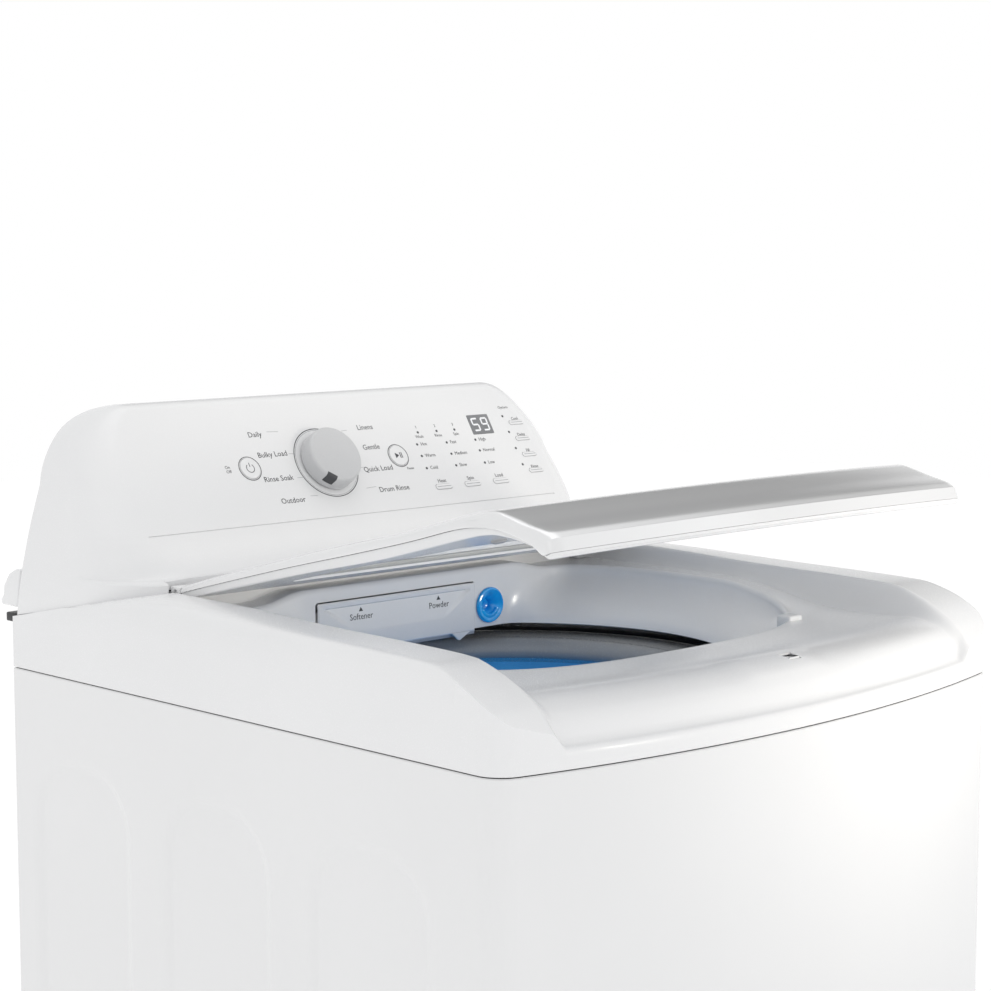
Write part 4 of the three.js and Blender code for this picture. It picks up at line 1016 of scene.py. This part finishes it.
# ---------------------------------------------------------------- knob, buttons and keys
def build_dial(sizes):
    made = finishes()
    radius, height = sizes.dial_radius / MM, sizes.dial_height / MM
    section = [(0, -16), (4.8, -16), (4.8, 1), (radius - 4, 1), (radius - 1, 1.6), (radius, 3)]
    section += [(radius - 0.6 * f, 3 + (height - 6.4) * f) for f in (0.33, 0.66, 1.0)]
    edge = radius - 0.6
    turns = np.linspace(0.25, math.pi / 2, 6)
    section += [(edge - 3.2 * (1 - math.cos(a)), height - 3.4 + 3.2 * math.sin(a)) for a in turns]
    section += [(edge - 8, height + 0.2), (edge - 16, height + 0.7), (0, height + 1)]
    knob = lathe("dial", section, 144, on_panel(*KNOB_SPOT))
    finish_piece(knob, "knob", made["silver"], ["dial_knob"])
    mark = prism("dial_pointer", rectangle(edge - 5.0, -6.0, radius + 0.12, 6.0), height - 11, height + 0.05,
                 on_panel(*KNOB_SPOT, 0, math.radians(-124)))
    outline = [(0, -4), *[(r + 0.14, z + 0.1) for r, z in section[4:-1]], (0, height + 1.1)]
    combine(mark, lathe("pointer_shape", outline, 144, on_panel(*KNOB_SPOT)), how="INTERSECT")
    finish_piece(mark, "knob", made["ink"])


def build_keys():
    made = finishes()
    for name, spot in ROUND_BUTTONS.items():
        section = [(0, -7), (12, -7), (12, 0.5), (11.75, 1.0), (11.2, 1.3), (9, 1.0), (0, 0.9)]
        cap = lathe(f"{name}_cap", section, 72, on_panel(*spot))
        cap.data.materials.append(made["plastic"])
        face = on_panel(*spot, 0.9)
        if name == "power_button":
            marks = [ring_print(4.4, 0.8, 0.02, face @ Matrix.Rotation(math.radians(90), 4, "Z"), 38, 322)]
            marks.append(prism("stroke", rectangle(-0.4, 1.5, 0.4, 6.2), 0.02, 0.1, face))
        else:
            marks = [prism("play", [(-4.6, -3.4), (0.6, 0), (-4.6, 3.4)], 0.02, 0.1, face)]
            marks += [prism("pause", rectangle(x, -3.4, x + 1.1, 3.4), 0.02, 0.1, face) for x in (1.8, 4.0)]
        for mark in marks:
            mark.data.materials.append(made["ink"])
        join(cap, *marks)
        finish_piece(cap, name, None, [name])
    for name, (x, t, length, width) in KEYS.items():
        cap = prism(f"{name}_cap", pill(length, width), -7, 1, on_panel(x, t))
        soften(cap, 0.7, 3)
        cap.data.materials.append(made["plastic"])
        bar = prism("key_line", rectangle(2 - length / 2, -0.3, length / 2 - 2, 0.3), 0.98, 1.06, on_panel(x, t))
        bar.data.materials.append(made["pale_ink"])
        join(cap, bar)
        finish_piece(cap, name, None, [name])


# ---------------------------------------------------------------- lid
LID_TOP = [
    (-5, 4), (4, 5.5), (60, 6.5), (161, 6), (236, 5), (330, 2), (400, 2.5), (431, 2), (446, 0), (458, -5.5),
    (477, -16),
    (497, -26.5), (504.5, -33),
]
LID_BOTTOM = [
    (-5, -5), (4, -6.5), (40, -8), (185, -11.5), (298, -16.5), (352, -17), (420, -17), (440, -19), (456, -24),
    (474, -31),
    (494, -41), (500.5, -49), (506, -47),
]
LID_HALF = 286.0


def smooth_line(points, steps=6):
    """A fair line through points, by their spacing."""
    points = np.asarray(points, float)
    out = []
    padded = np.vstack([2 * points[0] - points[1], points, 2 * points[-1] - points[-2]])
    for i in range(1, len(padded) - 2):
        p0, p1, p2, p3 = padded[i - 1:i + 3]
        reach = np.linalg.norm(p2 - p1)
        m1, m2 = (p2 - p0) / np.linalg.norm(p2 - p0) * reach, (p3 - p1) / np.linalg.norm(p3 - p1) * reach
        for k in range(steps):
            t = k / steps
            out.append((2 * t ** 3 - 3 * t * t + 1) * p1 + (t ** 3 - 2 * t * t + t) * m1
                       + (3 * t * t - 2 * t ** 3) * p2 + (t ** 3 - t * t) * m2)
    out.append(points[-1])
    return np.array(out)


def lid_section(kind):
    """The lid's section as (forward, up), split into a top skin that wraps the lip and a thinner liner."""
    top, bottom = smooth_line(LID_TOP), smooth_line(LID_BOTTOM)
    share = (0.5 - 0.32 * ease(380, 470, top[:, 0]))[:, None]
    middle = bottom + (top - bottom) * share
    gap = (top - bottom) * 0.01
    return (top, middle + gap) if kind == "top" else (middle - gap, bottom)


def lid_loft(name, kind, half, edge):
    """One half of the lid, its outer face rounded down to the middle at both sides."""
    upper, lower = lid_section(kind)
    face, back = (upper, lower) if kind == "top" else (lower, upper)
    depth = np.linalg.norm(face - back, axis=1)
    ends = [(half - edge * (1 - math.sin(a)), edge * (1 - math.cos(a))) for a in np.radians([0, 18, 36, 54, 72, 86])]
    side = [(half - edge - gap, 0.0) for gap in (24, 18, 13, 9, 6, 3.5, 1.5)] + ends
    stations = [(-x, pull) for x, pull in side[::-1]]
    stations += [(x, 0.0) for x in np.linspace(30 + edge - half, half - edge - 30, 45)] + side
    corner = 14.0
    rings = []
    for x, pull in stations:
        kept = np.maximum(0.08, 1 - pull / np.maximum(depth, 1e-6))[:, None]
        shaped = np.vstack([back + (face - back) * kept, back[::-1]])
        forward = shaped[:, 0] + ease(330, 440, shaped[:, 0]) * 27.0 * (1 - (x / LID_HALF) ** 2)
        past = max(0.0, abs(x) - (LID_HALF - corner)) / corner
        trim = corner * 0.45 * (1 - math.sqrt(max(0.0, 1 - past * past * 0.99)))
        forward = forward - trim * ease(440, 503, shaped[:, 0])
        across = x * (1 - 0.0105 * ease(420, 462, shaped[:, 0]))
        rings.append(np.column_stack([across, HINGE.y - forward, HINGE.z + shaped[:, 1]]))
    return tidy_mesh(loft(name, rings), merge=2e-6)


def window_outline(grow):
    half, rear, front = 226 + grow, 84 + grow, -176 - grow
    bow = [(half * (1 - k / 12), front - 16 * (1 - (1 - k / 12) ** 2)) for k in range(1, 24)]
    outline = [(-half, rear), (half, rear), (half, front), *bow, (-half, front)]
    radii = [26, 26, 26] + [2] * len(bow) + [26]
    return rounded(outline, radii, 8)


def build_lid(sizes):
    made = finishes()
    under, over = HINGE.z - 60, HINGE.z + 60
    top = lid_loft("lid_skin", "top", LID_HALF, sizes.edge_radius / MM)
    liner = lid_loft("lid_inner", "liner", LID_HALF - 1.5, 2.2)
    for piece, low, high in ((top, under, HINGE.z - 1), (liner, HINGE.z - 6.5, over)):
        combine(piece, prism("hole", window_outline(-9), under, over), prism("seat", window_outline(0), low, high))
        for x0, x1 in ((-400, -261), (261, 400)):
            combine(piece, block("notch", (x0, HINGE.y - 9, under), (x1, HINGE.y + 20, over)))
    barrels = []
    for x0, x1 in ((-261, -236), (236, 261)):
        barrel = lathe("barrel", [(0, x0), (5.4, x0), (6, x0 + 0.6), (6, x1 - 0.6), (5.4, x1), (0, x1)], 40,
                       Matrix.Translation(HINGE) @ Matrix.Rotation(math.pi / 2, 4, "Y"))
        barrels += [barrel, block("web", (x0, HINGE.y - 9, HINGE.z - 6), (x1, HINGE.y, HINGE.z - 1.5), 0.5)]
    join(liner, *barrels)
    # The lid's top skin takes the darker, partly metallic copy of the white plastic: painted shade.
    finish_piece(raised(top), "lid", made["lid_white_painted_shade"], ["lid_top"], 30)
    finish_piece(raised(liner), "lid", made["plastic"], ["lid_liner"], 30)
    pane = prism("lid_pane", window_outline(-0.3), HINGE.z - 6, HINGE.z - 1.4)
    soften(pane, 0.5, 2, 60)
    finish_piece(raised(pane), "lid", made["glass"], ["lid_window"])
    for x, name in ((-200, "left"), (200, "right")):
        bumper = lathe(f"bumper_{name}", [(0, -20.2), (4.4, -20.2), (6, -19.7), (7, -18.4), (7, -14), (0, -14)], 40,
                       Matrix.Translation((x, -208, HINGE.z)))
        finish_piece(raised(bumper), "lid", made["grey"], [f"lid_bumper_{name}"])
        carry_over(f"hinge_pin_{name}", f"hinge_shaft_{name}", "lid", "plastic", made["plastic"], 0.4)
    carry_over("lid_strike", "lock_strike", "lid", "grey", made["grey"], 0.5)


# ---------------------------------------------------------------- water and detergent
def fine_span(low, high, count):
    """Even stations from low to high, with close ones at both ends."""
    return [low, low + 0.6, low + 1.4, *np.linspace(low + 4, high - 4, count), high - 1.4, high - 0.6, high]


def build_drawer():
    made = finishes()
    x0, x1, z0, z1, y0 = -131.0, 85.0, 881.0, 932.5, 127.0
    foot, top, sink = 899.0, z1 - 5, 3.2
    grid_x, grid_z = np.meshgrid(fine_span(x0, x1, 70), fine_span(z0, z1, 30))
    edge = np.minimum(np.minimum(grid_x - x0, x1 - grid_x), np.minimum(grid_z - z0, z1 - grid_z))
    bulge = 1.2 * (1 - ease(0, 1.6, edge))
    slant = (grid_z - foot) / (top - foot)
    reach_left = x0 + 5 + (1 - slant) * 46
    reach_right = x1 - 5 - (1 - slant) * 40
    inside = ease(0, 3, grid_x - reach_left) * ease(0, 3, reach_right - grid_x)
    inside = inside * ease(0, 2, top - grid_z) * ease(0, 1.5, grid_z - foot)
    y = y0 + bulge + inside * sink * np.clip(slant, 0, 1)
    front = loft("drawer_front", np.stack([grid_x, y, grid_z], axis=-1), closed=False, caps=False)
    outward(front, lambda c: Vector((0, -1, 0)))
    thicken(front, 3.4)
    tub = block("drawer_tray", (x0 + 2, 130.2, z0 + 0.4), (x1 - 2, 246, 924), 1.2)
    combine(tub, block("softener", (x0 + 5, 134, z0 + 3), (-36, 243, 960), 4),
            block("detergent", (-33, 134, z0 + 3), (x1 - 5, 243, 960), 4))
    tab = prism("drawer_tab", rounded([(52, 881.5), (78, 881.5), (62, 873)], [1, 1, 2]), 127.2, 130.4, UPRIGHT)
    join(front, tub, soften(tab, 0.5, 2))
    finish_piece(front, "drawer", made["plastic"], ["dispenser_drawer"])
    marks = []
    line = 914.0
    slope = Vector((0, sink, top - foot)).normalized()
    face = Matrix((Vector((1, 0, 0)), slope, Vector((0, -slope.z, slope.y)))).transposed().to_4x4()
    for x, text in ((-73.0, "Softener"), (34.0, "Powder")):
        place = Matrix.Translation((x, y0 + sink * (line - foot) / (top - foot), line)) @ face
        marks.append(prism("triangle", [(-2.8, 5.4), (2.8, 5.4), (0, 9.8)], -0.2, 0.12, place))
        marks.append(lettering("words", text, 9.0, place @ Matrix.Translation((0, 0, 0.16))))
    finish_piece(joined("drawer_marks", marks), "drawer", made["ink"])
    carry_over("dispenser_housing", "dispenser_box", "cabinet", "grey", made["grey"], 0.6)


def build_nozzle(sizes):
    made = finishes()
    place = Matrix.Translation((NOZZLE_X, 130, NOZZLE_Z)) @ Matrix.Rotation(math.pi / 2, 4, "X")
    rim = sizes.nozzle_radius / MM
    cup = [
        (0, -22), (12, -22), (13, -20), (13, 0.4), (rim, 0.4), (rim, 2.2), (rim - 0.8, 3.4), (rim - 2.2, 3.8),
        (rim - 3.4, 3.2),
    ]
    for a in np.linspace(0.1, 1.45, 9):
        cup.append((rim - 3.4 - 10.8 * math.sin(a), 3.2 - 8 * (1 - math.cos(a)) - 3 * math.sin(a)))
    bowl = lathe("nozzle_cup", [*cup, (0, -8.6)], 96, place)
    section = [(rim - 11, -5.5), (rim - 9.5, 2.2), (rim - 8, 3.2), (rim - 5, 2.6), (rim - 3, 1.4), (rim - 3, -2)]
    turns = [math.radians(200 + 140 * k / 18) for k in range(19)]
    lip = solid("nozzle_lip", [[polar(r, a, z) for r, z in section] for a in turns], place)
    join(bowl, soften(lip, 0.5, 2))
    finish_piece(bowl, "cabinet", made["blue"], ["spray_nozzle"])


def build_plumbing():
    made = finishes()
    carry_over("inlet_hood", "inlet_cowl", "cabinet", "plastic", made["plastic"], 2.2, 4, 12)
    bar = block("valve_body", (-334, 350, 911), (-262, 374, 920), 1.5)
    for x, tone in ((-318, "hot"), (-278, "cold")):
        rings = [(10, 890.2), (12.2, 890.2), (12.6, 891)]
        for k in range(6):
            rings += [(13.2, 892.2 + k * 2.6), (12.2, 893.5 + k * 2.6)]
        rings += [(13.2, 908), (13.2, 912), (0, 912), (0, 908), (10, 908)]
        join(bar, lathe(f"port_{tone}", rings, 48, Matrix.Translation((x, 362, 0))))
    finish_piece(bar, "cabinet", made["black"], ["inlet_valve"])
    rear = Matrix.Rotation(-math.pi / 2, 4, "X")
    drain = lathe("drain_spigot", [
        (10, 0), (24, 0), (24, 3.4), (23.4, 4), (16, 4), (15, 5), (15, 12), (15.8, 13), (15, 16), (15.8, 17),
        (15, 20),
        (15.8, 21), (14.4, 27), (13.6, 28), (10, 28),
    ], 64, Matrix.Translation((236, REAR_SHEET_Y, 792)) @ rear)
    finish_piece(drain, "cabinet", made["black"], ["drain_port"])
    gland = lathe("cord_gland", [
        (4.5, 0), (14, 0), (14, 2.4), (13.4, 3), (9, 5), (8.4, 7), (8.8, 8), (7.8, 9.5), (8.2, 11),
        (7.2, 12.5), (7.4, 14),
        (6.6, 16), (4.5, 16),
    ], 48, Matrix.Translation((286, REAR_SHEET_Y, 792)) @ rear)
    finish_piece(gland, "cabinet", made["black"], ["power_gland"])


# ---------------------------------------------------------------- drum
def build_drum(sizes):
    made = finishes()
    place = Matrix.Translation(DRUM_CENTRE)
    ring = lathe("balance_hoop", [
        (256, 832.3), (256, 858), (255, 862), (252, 865.4), (248, 867), (240, 868.2), (232, 869.4),
        (222, 870), (212, 869.6),
        (206, 868), (203.4, 866.6), (201.5, 867.6), (198, 868), (194.5, 867), (191, 864.6), (188, 861),
        (186, 858), (185, 854),
        (185, 851), (186, 848), (189, 846.2), (193, 846), (244, 832.3),
    ], 160, place)
    finish_piece(ring, "basket", made["ring"], ["balance_ring"], 50)
    wall = [(40, 408), (120, 404), (236, 402), (244, 403.5), (250, 408), (254, 415), (256, 428)]
    levels = [*np.linspace(440, 820, 39), 832]
    wall += [(256 - (1.1 if 470 < z < 800 and int((z - 440) / 10) % 6 == 0 else 0), z) for z in levels]
    inner = [(r - 1.0, z + (1.2 if z < 412 else 0.4 if z < 420 else 0)) for r, z in wall[::-1]]
    shell = lathe("drum_shell", wall + inner, 120, place)
    # The drum's steel carries a painted glow.
    finish_piece(shell, "basket", made["steel"], ["basket"], 45)
    places = []
    for row in range(sizes.perforation_rows):
        z = 452 + row * (352.0 / max(1, sizes.perforation_rows - 1))
        for k in range(sizes.perforations_round):
            a = 2 * math.pi * (k + 0.5 * (row % 2)) / sizes.perforations_round
            places.append((Vector(polar(254.7, a, z)) + DRUM_CENTRE, polar(-1, a, 0)))
    # Each perforation is a dark disc on the wall rather than a hole: painted shadow.
    holes = spots("drum_perforation_shadows", places, 2.3, 0.5, 8, 0.8, made["shadow"])
    finish_piece(holes, "basket", None)
    carry_over("basket_hub", "drum_hub", "basket", "alloy", made["alloy"], 1.0)


def build_agitator(sizes):
    made = finishes()
    place = Matrix.Translation(DRUM_CENTRE)
    column = lathe("agitator_column", [
        (0, 432), (12.3, 432), (12.3, 416), (178, 416), (181, 417), (182, 420), (178, 423), (150, 431),
        (96, 444), (74, 454),
        (60, 466), (51, 482), (46, 500), (43, 540), (40, 600), (38, 680), (36, 745), (0, 745),
    ], 96, place)
    parts = []
    for k in range(sizes.vanes):
        rings = []
        for f in np.linspace(0, 1, 25):
            z = 424 + f * 232
            reach = curve([(0, 150), (0.1, 140), (0.25, 104), (0.5, 84), (0.8, 62), (1, 44)], f)
            thick = 5.0 - 2.0 * f
            section = [(24, -thick), (reach - 4, -thick * 0.8), (reach - 1, -thick * 0.5), (reach, 0),
                (reach - 1, thick * 0.5),
                       (reach - 4, thick * 0.8), (24, thick)]
            a = 2 * math.pi * k / sizes.vanes + 0.32 * math.sin(math.pi * f * 0.9)
            rings.append([(x * math.cos(a) - y * math.sin(a), x * math.sin(a) + y * math.cos(a), z) for x,
                y in section])
        parts.append(solid("vane", rings, place))
    for start in (0.0, math.pi):
        rings = []
        for f in np.linspace(0, 1, 91):
            reach = 38 + 16 * ease(0, 0.12, f) * (1 - ease(0.88, 1, f))
            section = [(34, -2.5), (reach, -1.6), (reach + 0.8, 0), (reach, 1.6), (34, 2.5)]
            rings.append([polar(r, start + f * 2.2 * math.pi, 668 + f * 66 + dz) for r, dz in section])
        parts.append(solid("fin", rings, place))
    join(column, *parts)
    finish_piece(column, "agitator", made["tub"], ["agitator"], 40)
    cap = lathe("agitator_top", [
        (0, 745.4), (39, 745.4), (41.4, 747), (42, 752), (41.6, 758), (40, 763), (36, 768), (30, 771.6), (22, 773.6),
        (12, 774.6), (0, 775),
    ], 72, place)
    finish_piece(cap, "agitator", made["blue"], ["agitator_cap"])


def build_running_gear():
    """Tub, drive and springs: the CAD's shapes with rounded edges and their own finishes."""
    made = finishes()
    rows = [
        # The tub's collar is black so that it reads as the shadowed gap under the cover's mouth: painted shade.
        ("outer_tub", "tub_shell", "tub", 0.8), ("tub_ring", "tub_collar_painted_shade", "black", 0.5),
        ("drive_housing", "gear_case", "alloy", 1.2), ("drain_pump", "pump_body", "black", 1.2),
        ("drive_shaft", "main_shaft", "zinc", 0.5), ("motor_rotor", "rotor", "alloy", 1.0),
    ]
    for corner in "1234":
        rows.append((f"suspension_rod_{corner}", f"hanger_rod_{corner}", "zinc", 0.5))
        rows.append((f"suspension_cup_{corner}", f"hanger_cup_{corner}", "black", 0.8))
    for node, name, slot, edge in rows:
        carry_over(node, name, frame["nodes"][node]["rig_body"], slot, made[slot], edge, 2, 40)


# ---------------------------------------------------------------- stage
def build_stage(sizes):
    scene = bpy.context.scene
    scene.view_settings.view_transform = "Standard"
    scene.view_settings.look = "None"
    corners = [(x, y, 0) for x, y in rectangle(-9000, -9000, 9000, 9000)]
    floor = new_object("stage_floor", corners, [(0, 1, 2, 3)])
    floor.data.materials.append(surface("stage_pale", (0.86, 0.86, 0.86), 0.8, grain=40, depth=0.02, tone=0.005,
                                        specular=0.1, glow=sizes.floor_glow))
    build_sky(scene, sizes)
    for name, place, width, power in (
        ("key", (-2.2, -1.0, 2.9), 1.8, sizes.key_power), ("fill", (1.5, -3.0, 1.5), 2.0, sizes.fill_power),
        ("top", (0.1, 0.1, 3.0), 1.2, sizes.top_power),
    ):
        lamp(name, place, width, power)
    beam = lamp("mouth_light", (0.62, -1.7, 1.06), 0.2, sizes.mouth_power, "SPOT", (0.02, 0.12, 0.9))
    beam.spot_size, beam.spot_blend, beam.color = math.radians(26), 0.9, (1.0, 0.95, 0.86)
    data = bpy.data.cameras.new("camera")
    camera = bpy.data.objects.new("camera", data)
    scene.collection.objects.link(camera)
    data.sensor_width, data.lens = 36, 85.612
    camera.location = (-1.62105, -1.6531, 1.29923)
    camera.rotation_euler = (math.radians(90 - 6.347), 0, math.radians(-44.28))
    scene.camera = camera


def build_sky(scene, sizes):
    """An even white studio with one darker side, which the curved plastic mirrors."""
    world = bpy.data.worlds.new("studio")
    scene.world = world
    world.use_nodes = True
    nodes, links = world.node_tree.nodes, world.node_tree.links
    room, output = nodes["Background"], nodes["World Output"]
    place = nodes.new("ShaderNodeTexCoord")
    facing = nodes.new("ShaderNodeVectorMath")
    facing.operation = "DOT_PRODUCT"
    facing.inputs[1].default_value = Vector((0.70, 0.50, 0.52)).normalized()
    level = nodes.new("ShaderNodeMapRange")
    level.interpolation_type = "SMOOTHSTEP"
    tuned(level, {"From Min": 0.92, "From Max": 0.985, "To Min": sizes.ambient, "To Max": sizes.dark_side})
    links.new(place.outputs["Generated"], facing.inputs[0])
    links.new(facing.outputs["Value"], level.inputs["Value"])
    links.new(level.outputs["Result"], room.inputs["Strength"])
    backdrop = tuned(nodes.new("ShaderNodeBackground"), {"Strength": 1.0})
    even = tuned(nodes.new("ShaderNodeBackground"), {"Strength": sizes.ambient})
    seen = nodes.new("ShaderNodeLightPath")
    chosen = room.outputs["Background"]
    for shader, ray in ((even, "Is Diffuse Ray"), (backdrop, "Is Camera Ray")):
        mix = nodes.new("ShaderNodeMixShader")
        links.new(seen.outputs[ray], mix.inputs["Fac"])
        links.new(chosen, mix.inputs[1])
        links.new(shader.outputs["Background"], mix.inputs[2])
        chosen = mix.outputs["Shader"]
    links.new(chosen, output.inputs["Surface"])
    for shader in (room, even, backdrop):
        shader.inputs["Color"].default_value = (1, 1, 1, 1)


def lamp(name, place, width, power, kind="AREA", aim=(0, 0, 0.9)):
    data = bpy.data.lights.new(name, kind)
    setattr(data, "size" if kind == "AREA" else "shadow_soft_size", width)
    data.energy = power
    light = bpy.data.objects.new(name, data)
    bpy.context.scene.collection.objects.link(light)
    light.location = place
    light.rotation_euler = (Vector(aim) - Vector(place)).to_track_quat("-Z", "Y").to_euler()
    return data


# ---------------------------------------------------------------- settings
def length(name, description, default):
    return FloatProperty(name=name, description=description, default=default, min=0.0, unit="LENGTH",
        subtype="DISTANCE")


def tint(name, description, default):
    return FloatVectorProperty(name=name, description=description, default=default, min=0.0, max=1.0, subtype="COLOR")


class WasherFinishes(bpy.types.PropertyGroup):
    """Colours of the machine's main finishes."""
    plastic_white: tint("Plastic white", "Colour of the moulded cover, console and keys", (0.80, 0.803, 0.81))
    enamel_white: tint("Enamel white", "Colour of the painted cabinet", (0.785, 0.787, 0.792))
    nozzle_blue: tint("Nozzle blue", "Colour of the spray nozzle and the agitator's cap", (0.01, 0.38, 1.0))
    # The drum tint is also the colour of the drum's painted glow.
    drum_tint_and_painted_glow: tint("Drum tint", "Colour of the drum's steel", (0.14, 0.54, 1.0))


class CabinetSizes(bpy.types.PropertyGroup):
    """Sizes of the pressed arches in the cabinet's sides."""
    arch_width: length("Arch width", "Width of each pressed arch", 0.150)
    arch_top: length("Arch top", "Height of the top of each arch above the floor", 0.784)
    arch_depth: length("Arch depth", "How far each arch is pressed in", 0.0026)


class CoverSizes(bpy.types.PropertyGroup):
    """Sizes of the moulded top cover."""
    lip_radius: length("Mouth edge", "Radius of the rounded edge of the mouth", 0.006)


class ConsoleSizes(bpy.types.PropertyGroup):
    """Sizes of the dial on the console."""
    dial_radius: length("Dial radius", "Radius of the cycle dial", 0.033)
    dial_height: length("Dial height", "How far the dial stands out of the panel", 0.020)


class LidSizes(bpy.types.PropertyGroup):
    """Sizes of the lid."""
    edge_radius: length("Edge radius", "Radius of the lid's rounded ends", 0.007)


class WaterSizes(bpy.types.PropertyGroup):
    """Sizes of the water fittings."""
    nozzle_radius: length("Nozzle radius", "Radius of the spray nozzle's rim", 0.019)


class DrumSizes(bpy.types.PropertyGroup):
    """Counts of the drum's and the agitator's details."""
    perforation_rows: IntProperty(name="Perforation rows", description="Rows of holes up the drum", default=12, min=1)
    perforations_round: IntProperty(name="Perforations round", description="Holes in each row", default=60, min=3)
    vanes: IntProperty(name="Vanes", description="Vanes on the agitator", default=4, min=2)


class StageSizes(bpy.types.PropertyGroup):
    """Light levels of the studio."""
    ambient: FloatProperty(name="Ambient", description="Strength of the even light from all round", default=0.92)
    dark_side: FloatProperty(name="Dark side", description="Strength of the room's darker side", default=0.05)
    floor_glow: FloatProperty(name="Floor glow", description="Light that the floor gives off", default=0.24)
    key_power: FloatProperty(name="Key light", description="Power of the light on the left", default=1.0,
        unit="POWER")
    fill_power: FloatProperty(name="Fill light", description="Power of the light in front", default=3.0, unit="POWER")
    mouth_power: FloatProperty(name="Mouth light", description="Power of the light under the lid",
        default=44.0, unit="POWER")
    top_power: FloatProperty(name="Top light", description="Power of the light above", default=3.0, unit="POWER")


SETTINGS = {
    "washer_finishes": WasherFinishes, "washer_cabinet": CabinetSizes, "washer_cover": CoverSizes,
    "washer_console": ConsoleSizes, "washer_lid": LidSizes, "washer_water": WaterSizes, "washer_drum": DrumSizes,
    "washer_stage": StageSizes,
}


# ---------------------------------------------------------------- operators
class WASHER_OT_cabinet(bpy.types.Operator):
    """Build the painted cabinet, its rear sheet, base rails and feet"""
    bl_idname = "washer.cabinet"
    bl_label = "Cabinet"

    def execute(self, context):
        build_cabinet(context.scene.washer_cabinet)
        return {"FINISHED"}


class WASHER_OT_cover(bpy.types.Operator):
    """Build the moulded top cover with its mouth, cheeks and lid lock"""
    bl_idname = "washer.cover"
    bl_label = "Top cover"

    def execute(self, context):
        build_cover(context.scene.washer_cover)
        return {"FINISHED"}


class WASHER_OT_console(bpy.types.Operator):
    """Build the console, its display and the panel's printing"""
    bl_idname = "washer.console"
    bl_label = "Console"

    def execute(self, context):
        build_console()
        return {"FINISHED"}


class WASHER_OT_controls(bpy.types.Operator):
    """Build the cycle dial, the round buttons and the keys"""
    bl_idname = "washer.controls"
    bl_label = "Dial and keys"

    def execute(self, context):
        build_dial(context.scene.washer_console)
        build_keys()
        return {"FINISHED"}


class WASHER_OT_lid(bpy.types.Operator):
    """Build the lid with its liner, glass pane, bumpers and pins"""
    bl_idname = "washer.lid"
    bl_label = "Lid"

    def execute(self, context):
        build_lid(context.scene.washer_lid)
        return {"FINISHED"}


class WASHER_OT_water(bpy.types.Operator):
    """Build the detergent drawer, the spray nozzle and the rear fittings"""
    bl_idname = "washer.water"
    bl_label = "Water and detergent"

    def execute(self, context):
        build_drawer()
        build_nozzle(context.scene.washer_water)
        build_plumbing()
        return {"FINISHED"}


class WASHER_OT_drum(bpy.types.Operator):
    """Build the drum with its balance ring, the agitator and the running gear"""
    bl_idname = "washer.drum"
    bl_label = "Drum and drive"

    def execute(self, context):
        build_drum(context.scene.washer_drum)
        build_agitator(context.scene.washer_drum)
        build_running_gear()
        return {"FINISHED"}


class WASHER_OT_stage(bpy.types.Operator):
    """Build the floor, the studio lights and the camera"""
    bl_idname = "washer.stage"
    bl_label = "Stage"

    def execute(self, context):
        build_stage(context.scene.washer_stage)
        return {"FINISHED"}


OPERATORS = [
    WASHER_OT_stage, WASHER_OT_cabinet, WASHER_OT_cover, WASHER_OT_console, WASHER_OT_controls, WASHER_OT_lid,
    WASHER_OT_water, WASHER_OT_drum,
]


class WASHER_PT_panel(bpy.types.Panel):
    """Lists the washing machine's builders and their sizes"""
    bl_idname = "WASHER_PT_panel"
    bl_label = "Washer"
    bl_space_type = "VIEW_3D"
    bl_region_type = "UI"
    bl_category = "Washer"

    def draw(self, context):
        for operator in OPERATORS:
            self.layout.operator(operator.bl_idname)
        for setting in SETTINGS:
            group = getattr(context.scene, setting)
            for name in group.bl_rna.properties.keys():
                if name not in ("rna_type", "name"):
                    self.layout.prop(group, name)


def register():
    for cls in (*SETTINGS.values(), *OPERATORS, WASHER_PT_panel):
        bpy.utils.register_class(cls)
    for name, cls in SETTINGS.items():
        setattr(bpy.types.Scene, name, PointerProperty(type=cls))


def unregister():
    for name in SETTINGS:
        delattr(bpy.types.Scene, name)
    for cls in (WASHER_PT_panel, *reversed(OPERATORS), *reversed(list(SETTINGS.values()))):
        bpy.utils.unregister_class(cls)


def main():
    register()
    for operator in OPERATORS:
        space, name = operator.bl_idname.split(".")
        getattr(getattr(bpy.ops, space), name)()


if __name__ == "__main__":
    main()
